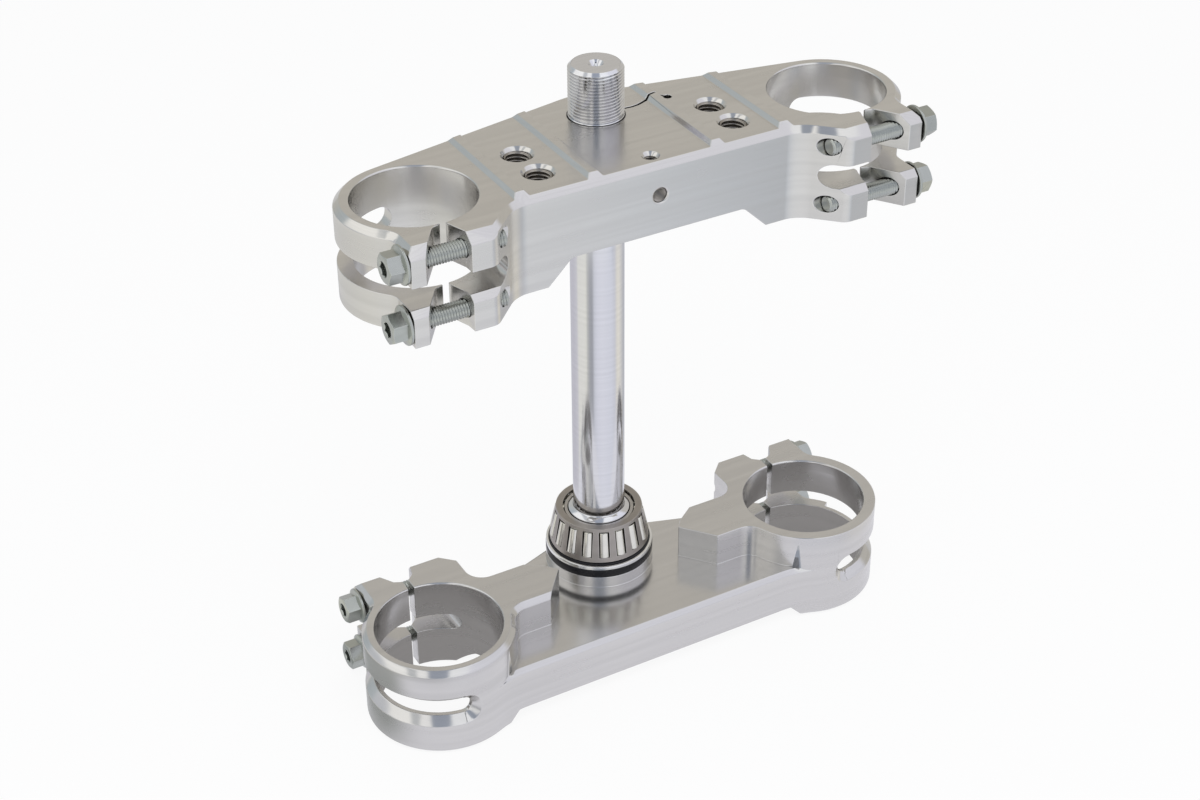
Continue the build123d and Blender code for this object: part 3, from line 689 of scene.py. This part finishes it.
# %% Stem thread
screw = wound("stem_thread", 12.42, thread_root - 0.02, 1.5, thread_low, stem_top, steps=72)
blank = turned(
    "blank",
    [
        (0, thread_low - 1),
        (thread_root - 0.1, thread_low - 1),
        (thread_root, thread_low),
        (stem_r + 0.4, thread_low + 0.7),
        (stem_r + 0.4, stem_top - 2.0),
        (stem_r - 0.05, stem_top - 1.6),
        (10.85, stem_top - 0.01),
        (0, stem_top - 0.01),
    ],
    steps=72,
)
combine(screw, blank, "INTERSECT")
core_r = thread_root - 0.8
core = turned(
    "core",
    [(0, thread_low - 2), (core_r, thread_low - 2), (core_r, stem_top + 1), (0, stem_top + 1)],
    steps=48,
)
combine(screw, core, "DIFFERENCE")
only(screw)
stem.select_set(True)
bpy.context.view_layer.objects.active = stem
bpy.ops.object.join()
bpy.ops.object.shade_smooth_by_angle(angle=radians(30))
put(stem, "triple_clamp", "stem_steel", "steering_stem")
print("stem", len(stem.data.polygons), "faces")

# %% [markdown]
# ## Lower bearing
# A taper roller bearing has an inner ring with a coned track, rollers that lean with it, and
# a cage pressed from sheet that spaces them. The cage and its rollers turn on the ring.
# The ring is turned, the cage is a rounded copy of the CAD solid, and one roller is made
# from a cone, its ends dished and its edges rounded, and then copied round.
# %% Inner ring
ring_low, ring_high = 43.0, 60.0
ring_bore_r, rib_r, small_rib_r = 15.02, 21.6, 17.0
ring = turned(
    "bearing_inner_race_turned",
    [
        (ring_bore_r, ring_low + 0.4),
        (ring_bore_r + 0.38, ring_low),
        (rib_r - 0.3, ring_low),
        (rib_r, ring_low + 0.3),
        (rib_r, 44.3),
        (rib_r - 0.2, 44.5),
        (18.77, 44.5),
        (16.55, 58.4),
        (small_rib_r - 0.2, 58.4),
        (small_rib_r, 58.6),
        (small_rib_r, ring_high - 0.2),
        (small_rib_r - 0.2, ring_high),
        (ring_bore_r + 0.4, ring_high),
        (ring_bore_r, ring_high - 0.4),
    ],
)
put(ring, "triple_clamp", "race_steel", "bearing_inner_race")
print("ring", len(ring.data.polygons), "faces")

# %% Cage
cage = refined("bearing_cage", 0.12 * mm, angle=30)
put(cage, "cage_and_rollers", "cage_steel", "bearing_cage")
print("cage", len(cage.data.polygons), "faces")

# %% One roller
roller_tilt = radians(11)
large_r, small_r, roller_length = 3.1, 2.8235, 13.2
bpy.ops.object.select_all(action="DESELECT")
bpy.ops.mesh.primitive_cone_add(
    vertices=40,
    radius1=large_r * mm,
    radius2=small_r * mm,
    depth=roller_length * mm,
    location=(0, 0, roller_length / 2 * mm),
)
first = bpy.context.object
bpy.ops.object.transform_apply(location=True)
edit(first)
bpy.ops.mesh.select_all(action="DESELECT")
leave()
for face in first.data.polygons:
    face.select = abs(face.normal.z) > 0.9
bpy.ops.object.mode_set(mode="EDIT")
bpy.ops.mesh.inset(thickness=0.9 * mm)
bpy.ops.mesh.inset(thickness=0.3 * mm, depth=-0.15 * mm)
leave()
round_edges(first, 0.25 * mm, angle=40)
print("roller", len(first.data.polygons), "faces")

# %% Seventeen places
roller_count = 17
first_roller = radians(-6.9)
foot = Matrix.Translation(Vector((21.66, 0, 45.6)) * mm)
lean = Matrix.Rotation(-roller_tilt, 4, "Y")
for number in range(roller_count):
    turn = Matrix.Rotation(first_roller + number * 2 * pi / roller_count, 4, "Z")
    roller = first.copy()
    roller.data = first.data.copy()
    roller.name = f"roller_{number + 1:02d}"
    bpy.context.scene.collection.objects.link(roller)
    roller.data.transform(turn @ foot @ lean)
    put(roller, "cage_and_rollers", "roller_steel", f"bearing_roller_{number + 1:02d}")
bpy.data.objects.remove(first)
print(roller_count, "rollers")

# %% [markdown]
# ## Dust seal and its ring
# Under the bearing a thick rubber seal lies on the boss, and a bright turned ring sits on
# it round the seal's neck. Bevelled cylinders could stand for both, but in an outline each
# corner gets its own round: large and soft on moulded rubber, small on turned steel.
# %% Seal and ring
seal_bore_r, neck_r, seal_r = 19.02, 24.9, 26.38
seal_step, lip_top = 40.2, 43.2
seal = turned(
    "dust_seal_moulded",
    [
        (seal_bore_r, collar_low),
        (26.0, collar_low),
        (26.25, 36.1),
        (seal_r, 36.4),
        (seal_r, 39.5),
        (26.25, 39.95),
        (25.9, seal_step),
        (neck_r, seal_step),
        (neck_r, 42.7),
        (24.75, 43.05),
        (24.4, lip_top),
        (22.9, lip_top),
        (22.6, 43.05),
        (22.5, 42.6),
        (seal_bore_r, 42.6),
    ],
)
put(seal, "triple_clamp", "seal_rubber", "dust_seal")
washer_bore_r, washer_r = neck_r + 0.02, 26.2
washer_low, washer_top = seal_step + 0.02, 42.2
washer = turned(
    "seal_washer_turned",
    [
        (washer_bore_r, washer_low),
        (washer_r - 0.2, washer_low),
        (washer_r, 40.4),
        (washer_r, 41.8),
        (washer_r - 0.1, 42.05),
        (25.85, washer_top),
        (25.1, washer_top),
        (washer_bore_r, 42.05),
    ],
)
put(washer, "triple_clamp", "washer_steel", "seal_washer")
print("seal", len(seal.data.polygons), "and ring", len(washer.data.polygons), "faces")

# %% [markdown]
# ## Pinch bolts
# Eight hexagon flange bolts close the rings on the fork tubes. Each has a forged head with
# a crowned top, a coned flange and a hexagon socket. The CAD has such a head already, but
# with sharp edges and a plain shank. So one bolt is made upright at the origin: a hexagon
# is trimmed by a turned cone and joined to the flange, the socket is cut, and a thread is
# wound below. Then a copy is laid on its side at each of the eight places.
# %% One bolt


def hexagon(name, across_flats, low, high):
    bpy.ops.object.select_all(action="DESELECT")
    bpy.ops.mesh.primitive_cylinder_add(
        vertices=6,
        radius=across_flats / 2 / cos(pi / 6) * mm,
        depth=(high - low) * mm,
        location=(0, 0, (low + high) / 2 * mm),
    )
    bpy.ops.object.transform_apply(location=True)
    piece = bpy.context.object
    piece.name = name
    return piece


head_top, flange_r, hex_flats, socket_flats = 8.2, 8.5, 12.0, 6.0
bolt = hexagon("bolt", hex_flats, 0.6, head_top)
crown = turned(
    "crown",
    [(0, 0.2), (9, 0.2), (9, head_top - 1.5), (5.55, head_top), (0, head_top)],
    steps=64,
)
combine(bolt, crown, "INTERSECT")
flange = turned(
    "flange",
    [
        (0, 0),
        (flange_r - 0.3, 0),
        (flange_r, 0.25),
        (flange_r, 0.95),
        (flange_r - 0.2, 1.2),
        (6.6, 1.9),
        (5.6, 2.1),
        (0, 2.1),
    ],
    steps=64,
)
combine(bolt, flange, "UNION")
socket = hexagon("socket", socket_flats, head_top - 4.5, head_top + 1)
combine(bolt, socket, "DIFFERENCE")
lead = turned(
    "lead",
    [(0, head_top - 0.6), (2.9, head_top - 0.6), (4.1, head_top + 0.6), (0, head_top + 0.6)],
)
combine(bolt, lead, "DIFFERENCE")
round_edges(bolt, 0.12 * mm, angle=25)
print("head of", len(bolt.data.polygons), "faces")

# %% Shank
shank_end, shank_top = -45.0, -0.6
shank = wound("shank", 3.98, 3.28, 1.25, shank_end, shank_top, steps=36)
tip = turned(
    "tip",
    [
        (0, shank_end),
        (3.2, shank_end),
        (4.1, shank_end + 0.9),
        (4.1, -1.9),
        (3.3, -1.2),
        (3.3, shank_top),
        (0, shank_top),
    ],
    steps=36,
)
combine(shank, tip, "INTERSECT")
neck = turned("neck", [(0, -2.2), (3.5, -2.2), (3.5, 0.1), (0, 0.1)], steps=36)
only(neck)
shank.select_set(True)
bolt.select_set(True)
bpy.context.view_layer.objects.active = bolt
bpy.ops.object.join()
bpy.ops.object.shade_smooth_by_angle(angle=radians(32))
print("bolt of", len(bolt.data.polygons), "faces")

# %% Eight places
# A turn for each bolt, in degrees: no two heads stop at the same angle.
turns = (4, 31, 17, 50, 23, 9, 41, 55)
places = [
    f"{clamp}_bolt_{side}_{row}"
    for clamp in ("upper", "lower")
    for side in ("right", "left")
    for row in ("top", "low")
]
for name, turn in zip(places, turns):
    low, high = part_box(name)
    middle = (low + high) / 2
    outward = 1 if middle.x > 0 else -1
    seat = (high.x if outward > 0 else -low.x) - head_top * mm
    place = Matrix.Translation((outward * seat, middle.y, middle.z))
    lay = Matrix.Rotation(outward * pi / 2, 4, "Y")
    piece = bolt.copy()
    piece.data = bolt.data.copy()
    piece.name = name.replace("bolt", "screw")
    bpy.context.scene.collection.objects.link(piece)
    piece.data.transform(place @ lay @ Matrix.Rotation(radians(turn), 4, "Z"))
    put(piece, "triple_clamp", "bolt_zinc", name)
bpy.data.objects.remove(bolt)
print(len(places), "bolts placed")

# %% [markdown]
# ## Stem pinch bolt
# A socket head screw closes the upper clamp on the stem from behind. A threaded shank could
# be wound here too, but the clamp hides it, so a plain one is enough: the screw is spun in
# one outline, its hexagon socket is cut, and the shank is stretched to its length.
# %% Socket screw
low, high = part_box("stem_pinch_bolt")
cap_mid = (low + high) / 2
cap_length = (high.y - low.y) / mm
spun_length = 29.0
cap = turned(
    "stem_pinch_screw",
    [
        (0, 0),
        (4.0, 0),
        (4.0, 21.0),
        (6.3, 21.0),
        (6.5, 21.25),
        (6.5, 28.2),
        (5.9, spun_length),
        (0, spun_length),
    ],
    steps=64,
)
cap_socket = hexagon("cap_socket", socket_flats, spun_length - 4.5, spun_length + 1)
combine(cap, cap_socket, "DIFFERENCE")
edit(cap)
bpy.ops.mesh.select_all(action="DESELECT")
leave()
for vertex in cap.data.vertices:
    vertex.select = vertex.co.z > 10 * mm
bpy.ops.object.mode_set(mode="EDIT")
bpy.ops.transform.translate(value=(0, 0, (cap_length - spun_length) * mm))
leave()
only(cap)
bpy.ops.object.shade_smooth_by_angle(angle=radians(30))
cap.data.transform(
    Matrix.Translation((cap_mid.x, low.y, cap_mid.z)) @ Matrix.Rotation(-pi / 2, 4, "X")
)
put(cap, "triple_clamp", "screw_black", "stem_pinch_bolt")
print("socket screw of", cap_length, "mm")

# %% [markdown]
# ## Threads in the clamp's holes
# The handlebar mounts screw into four tapped holes, and two small tapped holes sit in the
# top and the front. Threads could be cut into the clamp itself, but that would make its
# mesh far heavier. The CAD holes are plain, so each gets a sleeve of thread with its teeth
# pointing in: the winding is left open at its ends and given a thin wall outwards.
# %% A thread in a hole


def tapped(name, wall_r, crest_r, pitch, length, matrix):
    # A thread inside a hole, from the mouth at height 0 down, then put in place.
    piece = wound(name, crest_r, wall_r - 0.05, pitch, -length, 0, steps=32, filled=False)
    outward = sum(
        face.normal.dot(Vector((face.center.x, face.center.y, 0))) for face in piece.data.polygons
    )
    if outward > 0:
        edit(piece)
        bpy.ops.mesh.flip_normals()
        leave()
    only(piece)
    wall = piece.modifiers.new("wall", "SOLIDIFY")
    wall.thickness = 0.12 * mm
    wall.offset = -1
    bpy.ops.object.modifier_apply(modifier=wall.name)
    bpy.ops.object.shade_smooth_by_angle(angle=radians(32))
    piece.data.transform(matrix)
    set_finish(piece, "upper_aluminium")
    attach(piece, "triple_clamp")
    return piece


print("tapped() ready")

# %% Six tapped holes
# The deck lies 2 mm below the ribs' tops, and a thread starts below its countersink.
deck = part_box("upper_clamp")[1].z - 2.0 * mm
mouth = deck - 1.6 * mm
bar_x, bar_front, bar_rear = 47.8, -36, -17
threads = []
for side_name, x in (("right", -bar_x), ("left", bar_x)):
    for row, y in (("front", bar_front), ("rear", bar_rear)):
        spot = Matrix.Translation((x * mm, y * mm, mouth))
        threads.append(tapped(f"bar_thread_{side_name}_{row}", 6.0, 5.15, 1.75, 31.0, spot))
spot = Matrix.Translation((0, -46.4 * mm, mouth))
threads.append(tapped("top_thread", 2.6, 2.15, 0.8, 8.0, spot))
spot = Matrix.Translation((0, -54.6 * mm, 256.7 * mm)) @ Matrix.Rotation(pi / 2, 4, "X")
threads.append(tapped("front_thread", 3.3, 2.75, 1.0, 9.0, spot))
print(len(threads), "tapped holes")

# %% [markdown]
# ## Shared finishes
# Milling leaves fine parallel lines, and hands and cleaning leave a faint haze. The edges are
# a little brighter: partly the wear where they are broken, partly a painted highlight.
# Thread roots, narrow gaps and corners are painted darker, a painted shade. Each metal could
# have its own nodes for this, but the effects are the same, so each is one node group with
# named inputs that every metal uses with its own values. The lines run along the clamps on
# faces that look up or down, and level round the walls and bores.
# %% Group: machining lines


def group(name, inputs, outputs):
    # An empty shader group with float inputs (name, value) and the named float outputs.
    made = bpy.data.node_groups.new(name, "ShaderNodeTree")
    for label, value in inputs:
        socket = made.interface.new_socket(label, in_out="INPUT", socket_type="NodeSocketFloat")
        socket.default_value = value
    for label in outputs:
        made.interface.new_socket(label, in_out="OUTPUT", socket_type="NodeSocketFloat")
    return made, node(made, "NodeGroupInput", (0, 0)), node(made, "NodeGroupOutput", (9, 0))


marks, start, end = group(
    "machining_lines", [("Lines", 1800.0), ("Run", 12.0)], ["Height", "Tone", "Slant"]
)
place = node(marks, "ShaderNodeTexCoord", (0, 2))
split = node(marks, "ShaderNodeSeparateXYZ", (1, 2))
join(marks, place.outputs["Object"], split.inputs[0])
facing = node(marks, "ShaderNodeNewGeometry", (0, 4))
split_normal = node(marks, "ShaderNodeSeparateXYZ", (1, 4))
join(marks, facing.outputs["Normal"], split_normal.inputs[0])
upward = calculate(marks, "ABSOLUTE", split_normal.outputs[2], None, (2, 4))
flat = smooth(marks, upward, 0.6, 0.8, (3, 4))
slanted = times(
    marks, smooth(marks, upward, 0.50, 0.60, (3, 5)), smooth(marks, upward, 0.94, 0.84, (3, 6)), (4, 5)
)
join(marks, slanted, end.inputs["Slant"])
beside = calculate(marks, "ADD", split.outputs[0], split.outputs[1], (2, 3))
lengthwise = mixed_value(marks, flat, beside, split.outputs[0], (4, 3))
crossing = mixed_value(marks, flat, split.outputs[2], split.outputs[1], (4, 2))
lengthwise = calculate(marks, "MULTIPLY", lengthwise, start.outputs["Run"], (5, 3))
crossing = calculate(marks, "MULTIPLY", crossing, start.outputs["Lines"], (5, 2))
spread = node(marks, "ShaderNodeCombineXYZ", (6, 2))
join(marks, lengthwise, spread.inputs[0])
join(marks, crossing, spread.inputs[1])
join(marks, flat, spread.inputs[2])
fine = node(marks, "ShaderNodeTexNoise", (7, 1))
fine.inputs["Scale"].default_value = 1
fine.inputs["Detail"].default_value = 1
join(marks, spread.outputs[0], fine.inputs["Vector"])
broad = node(marks, "ShaderNodeTexNoise", (7, 3))
broad.inputs["Scale"].default_value = 0.22
broad.inputs["Detail"].default_value = 3
join(marks, spread.outputs[0], broad.inputs["Vector"])
join(marks, fine.outputs["Fac"], end.inputs["Height"])
tone = smooth(marks, broad.outputs["Fac"], 0.32, 0.68, (8, 3))
join(marks, tone, end.inputs["Tone"])
print("group", marks.name, "of", len(marks.nodes), "nodes")

# %% Group: haze
haze, start, end = group("handling_haze", [("Size", 30.0)], ["Cloud"])
place = node(haze, "ShaderNodeTexCoord", (0, 1))
cloud = node(haze, "ShaderNodeTexNoise", (2, 0))
cloud.inputs["Detail"].default_value = 5
cloud.inputs["Roughness"].default_value = 0.62
join(haze, place.outputs["Object"], cloud.inputs["Vector"])
join(haze, start.outputs["Size"], cloud.inputs["Scale"])
join(haze, smooth(haze, cloud.outputs["Fac"], 0.3, 0.72, (4, 0)), end.inputs["Cloud"])
print("group", haze.name, "of", len(haze.nodes), "nodes")

# %% Group: edge wear and painted highlight
edges, start, end = group("edge_wear_and_highlight", [("Width", 0.0006), ("Strength", 5.0)], ["Edge"])
# Edges get a lighter colour: partly wear where they are broken, partly a painted highlight
rounded = node(edges, "ShaderNodeBevel", (1, 1), samples=4)
join(edges, start.outputs["Width"], rounded.inputs["Radius"])
facing = node(edges, "ShaderNodeNewGeometry", (1, 2))
meet = node(edges, "ShaderNodeVectorMath", (2, 1), operation="DOT_PRODUCT")
join(edges, rounded.outputs["Normal"], meet.inputs[0])
join(edges, facing.outputs["Normal"], meet.inputs[1])
open_share = calculate(edges, "SUBTRACT", 1.0, meet.outputs["Value"], (3, 1))
edge = calculate(edges, "MULTIPLY", open_share, start.outputs["Strength"], (4, 1))
join(edges, smooth(edges, edge, 0.0, 1.0, (5, 1)), end.inputs["Edge"])
print("group", edges.name, "of", len(edges.nodes), "nodes")

# %% Group: painted shade in recesses
painted_recess_shade, start, end = group("painted_recess_shade", [("Reach", 0.0007)], ["Open"])
# An occlusion node marks thread roots, gaps and corners for painted shade
sheltered = node(painted_recess_shade, "ShaderNodeAmbientOcclusion", (1, 1), samples=6)
join(painted_recess_shade, start.outputs["Reach"], sheltered.inputs["Distance"])
join(painted_recess_shade, smooth(painted_recess_shade, sheltered.outputs["AO"], 0.30, 0.85, (3, 1)), end.inputs["Open"])
print("group", painted_recess_shade.name, "of", len(painted_recess_shade.nodes), "nodes")

# %% [markdown]
# ## The metals
# The object holds aluminium and six kinds of steel, each cut or ground its own way. An
# image of scratches could cover each, but nodes stay sharp at any distance and need no
# file. One recipe makes every metal: a Principled shader that is fully metallic, a colour
# that shifts a little with the lines, the haze and the edges, a roughness that does the
# same, and a faint bump from the lines. Only the numbers differ from metal to metal.
# %% A metal
edge_width = 0.6 * mm
shade_reach = 0.7 * mm
# The last share is how dark the painted shade in recesses gets
line_share, haze_share, painted_shade_share = 0.93, 0.96, 0.30


def grouped(tree, which, place, **values):
    made = node(tree, "ShaderNodeGroup", place, node_tree=which)
    for name, value in values.items():
        made.inputs[name].default_value = value
    return made


def opaque(colour, share=1.0):
    # A colour, darkened to a share of itself.
    return tuple(part * share for part in colour) + (1,)


def metal(name, colour, edge_wear_highlight_colour, rough, swing, lines, run, depth, cloud=30.0, slant=None):
    made = bpy.data.materials.new(name)
    made.use_nodes = True
    tree = made.node_tree
    shader = tree.nodes["Principled BSDF"]
    shader.location = (1600, 0)
    tree.nodes["Material Output"].location = (1900, 0)
    shader.inputs["Metallic"].default_value = 1.0
    cut = grouped(tree, marks, (0, 0), Lines=lines, Run=run)
    veil = grouped(tree, haze, (0, 2), Size=cloud)
    rim = grouped(tree, edges, (0, 4), Width=edge_width)
    recess_shade_node = grouped(tree, painted_recess_shade, (0, 6), Reach=shade_reach)
    half = times(tree, veil.outputs["Cloud"], 0.6, (2, 2))
    plain = blended(
        tree, cut.outputs["Tone"], opaque(colour), opaque(colour, line_share), (2, 0)
    )
    plain = blended(tree, half, plain, opaque(colour, haze_share), (3, 0))
    # Brighter edges: partly wear, partly a painted highlight
    plain = blended(tree, rim.outputs["Edge"], plain, opaque(edge_wear_highlight_colour), (4, 0))
    # Painted shade: sheltered places fall towards a third of the colour
    plain = blended(tree, recess_shade_node.outputs["Open"], opaque(colour, painted_shade_share), plain, (5, 0))
    join(tree, plain, shader.inputs["Base Color"])
    by_line = times(tree, cut.outputs["Tone"], swing, (2, 3))
    by_haze = times(tree, veil.outputs["Cloud"], swing, (3, 3))
    total = calculate(tree, "ADD", by_line, by_haze, (4, 3))
    total = calculate(tree, "ADD", total, rough, (5, 3))
    total = mixed_value(tree, cut.outputs["Slant"], total, slant or rough, (6, 3))
    join(tree, total, shader.inputs["Roughness"])
    relief = node(tree, "ShaderNodeBump", (6, 5))
    relief.inputs["Strength"].default_value = 1.0
    relief.inputs["Distance"].default_value = depth * mm
    join(tree, cut.outputs["Height"], relief.inputs["Height"])
    join(tree, relief.outputs["Normal"], shader.inputs["Normal"])
    return made


print("metal() ready")

# %% Nine metals
upper_finish = metal(
    "milled_aluminium_upper", (0.70, 0.685, 0.66), (0.82, 0.82, 0.82), 0.19, 0.05, 950, 14, 0.0003, slant=0.12
)
lower_finish = metal(
    "milled_aluminium_lower", (0.68, 0.67, 0.66), (0.80, 0.80, 0.80), 0.20, 0.05, 950, 14, 0.0003, slant=0.12
)
stem_finish = metal(
    "ground_steel_stem", (0.76, 0.76, 0.78), (0.86, 0.86, 0.86), 0.09, 0.03, 2600, 5, 0.0001
)
race_finish = metal(
    "ground_steel_ring", (0.50, 0.48, 0.46), (0.70, 0.69, 0.66), 0.24, 0.05, 2600, 5, 0.0010
)
cage_finish = metal(
    "pressed_steel_cage", (0.40, 0.37, 0.34), (0.62, 0.60, 0.56), 0.30, 0.06, 900, 30, 0.0020, 90.0
)
roller_finish = metal(
    "ground_steel_rollers", (0.82, 0.80, 0.72), (0.90, 0.88, 0.82), 0.12, 0.03, 900, 30, 0.0001
)
washer_finish = metal(
    "turned_steel_ring", (0.86, 0.86, 0.85), (0.92, 0.92, 0.92), 0.16, 0.04, 3200, 4, 0.0008
)
zinc_finish = metal(
    "zinc_plated_bolts", (0.48, 0.50, 0.47), (0.64, 0.65, 0.62), 0.25, 0.06, 1500, 400, 0.0015, 160.0
)
# A darker copy of the aluminium for the threads deep in the holes: painted shade
tapped_shaded_finish = metal(
    "tapped_aluminium_painted_shade", (0.34, 0.31, 0.27), (0.55, 0.52, 0.48), 0.30, 0.05, 900, 30, 0.0002
)
print("nine metals made")

# %% [markdown]
# ## The polished pocket
# The floor of the lower clamp's pocket was milled with a finer cutter: it mirrors the boss
# and the plateaus. The roughness of the same material is lowered where a surface looks up
# at the pocket's height, so the finish follows the shape and not the camera.
# %% Pocket floor
tree = lower_finish.node_tree
shader = tree.nodes["Principled BSDF"]
place = node(tree, "ShaderNodeTexCoord", (4, 7))
split = node(tree, "ShaderNodeSeparateXYZ", (5, 7))
join(tree, place.outputs["Object"], split.inputs[0])
facing = node(tree, "ShaderNodeNewGeometry", (4, 8))
looks_up = node(tree, "ShaderNodeSeparateXYZ", (5, 8))
join(tree, facing.outputs["Normal"], looks_up.inputs[0])
pocket = smooth(tree, looks_up.outputs[2], 0.9, 0.99, (6, 8))
top_end = smooth(tree, split.outputs[2], 30.6 * mm, 30.2 * mm, (6, 7))
pocket = times(tree, pocket, top_end, (7, 7))
low_end = smooth(tree, split.outputs[2], 29.4 * mm, 29.8 * mm, (6, 6))
pocket = times(tree, pocket, low_end, (8, 7))
plain = shader.inputs["Roughness"].links[0].from_socket
join(tree, mixed_value(tree, pocket, plain, 0.20, (7, 3)), shader.inputs["Roughness"])
print("pocket floor polished")

# %% [markdown]
# ## Rubber and black oxide
# The seal is smooth moulded rubber, almost black and rather glossy, with a very fine skin.
# The socket screw is steel with a black oxide coat, which keeps a dull metal gloss. The
# metals' recipe would serve, but neither piece shows lines or bright edges. A shorter one
# does for both: a dark colour, a haze and a fine grain.
# %% Two dark finishes


def dark(name, colour, pale, rough, metallic, grain, depth, gloss=0.5):
    made = bpy.data.materials.new(name)
    made.use_nodes = True
    tree = made.node_tree
    shader = tree.nodes["Principled BSDF"]
    shader.location = (1200, 0)
    tree.nodes["Material Output"].location = (1500, 0)
    shader.inputs["Metallic"].default_value = metallic
    shader.inputs["Specular IOR Level"].default_value = gloss
    place = node(tree, "ShaderNodeTexCoord", (0, 0))
    skin = node(tree, "ShaderNodeTexNoise", (1, 0))
    skin.inputs["Scale"].default_value = grain
    skin.inputs["Detail"].default_value = 3
    join(tree, place.outputs["Object"], skin.inputs["Vector"])
    veil = grouped(tree, haze, (1, 2), Size=60.0)
    colours = blended(tree, veil.outputs["Cloud"], colour + (1,), pale + (1,), (3, 0))
    join(tree, colours, shader.inputs["Base Color"])
    swing = calculate(tree, "MULTIPLY", veil.outputs["Cloud"], 0.10, (3, 2))
    join(tree, calculate(tree, "ADD", swing, rough, (4, 2)), shader.inputs["Roughness"])
    relief = node(tree, "ShaderNodeBump", (4, 3))
    relief.inputs["Distance"].default_value = depth * mm
    join(tree, skin.outputs["Fac"], relief.inputs["Height"])
    join(tree, relief.outputs["Normal"], shader.inputs["Normal"])
    return made


rubber = dark("moulded_rubber", (0.012, 0.012, 0.014), (0.018, 0.018, 0.020), 0.24, 0.0, 3000, 0.004, 0.22)
oxide = dark("black_oxide_steel", (0.05, 0.05, 0.052), (0.09, 0.088, 0.086), 0.36, 0.8, 4000, 0.004)
print("two dark finishes made")

# %% [markdown]
# ## Dressing the pieces
# Each piece has carried the name of its finish since it was handed to the frame. The
# finishes could be assigned one by one where the pieces are made, but a table and one loop
# at the end show them all together and miss none.
# %% Dress every piece
finishes = {
    "upper_aluminium": upper_finish,
    "lower_aluminium": lower_finish,
    "stem_steel": stem_finish,
    "race_steel": race_finish,
    "cage_steel": cage_finish,
    "roller_steel": roller_finish,
    "seal_rubber": rubber,
    "washer_steel": washer_finish,
    "bolt_zinc": zinc_finish,
    "screw_black": oxide,
}
dressed = 0
for piece in bpy.data.objects:
    if "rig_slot" in piece and piece.type == "MESH":
        piece.data.materials.clear()
        piece.data.materials.append(finishes[piece["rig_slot"]])
        dressed += 1
# The threads in the holes get the darker aluminium, a painted shade
for piece in threads:
    piece.data.materials[0] = tapped_shaded_finish
print(dressed, "pieces dressed")
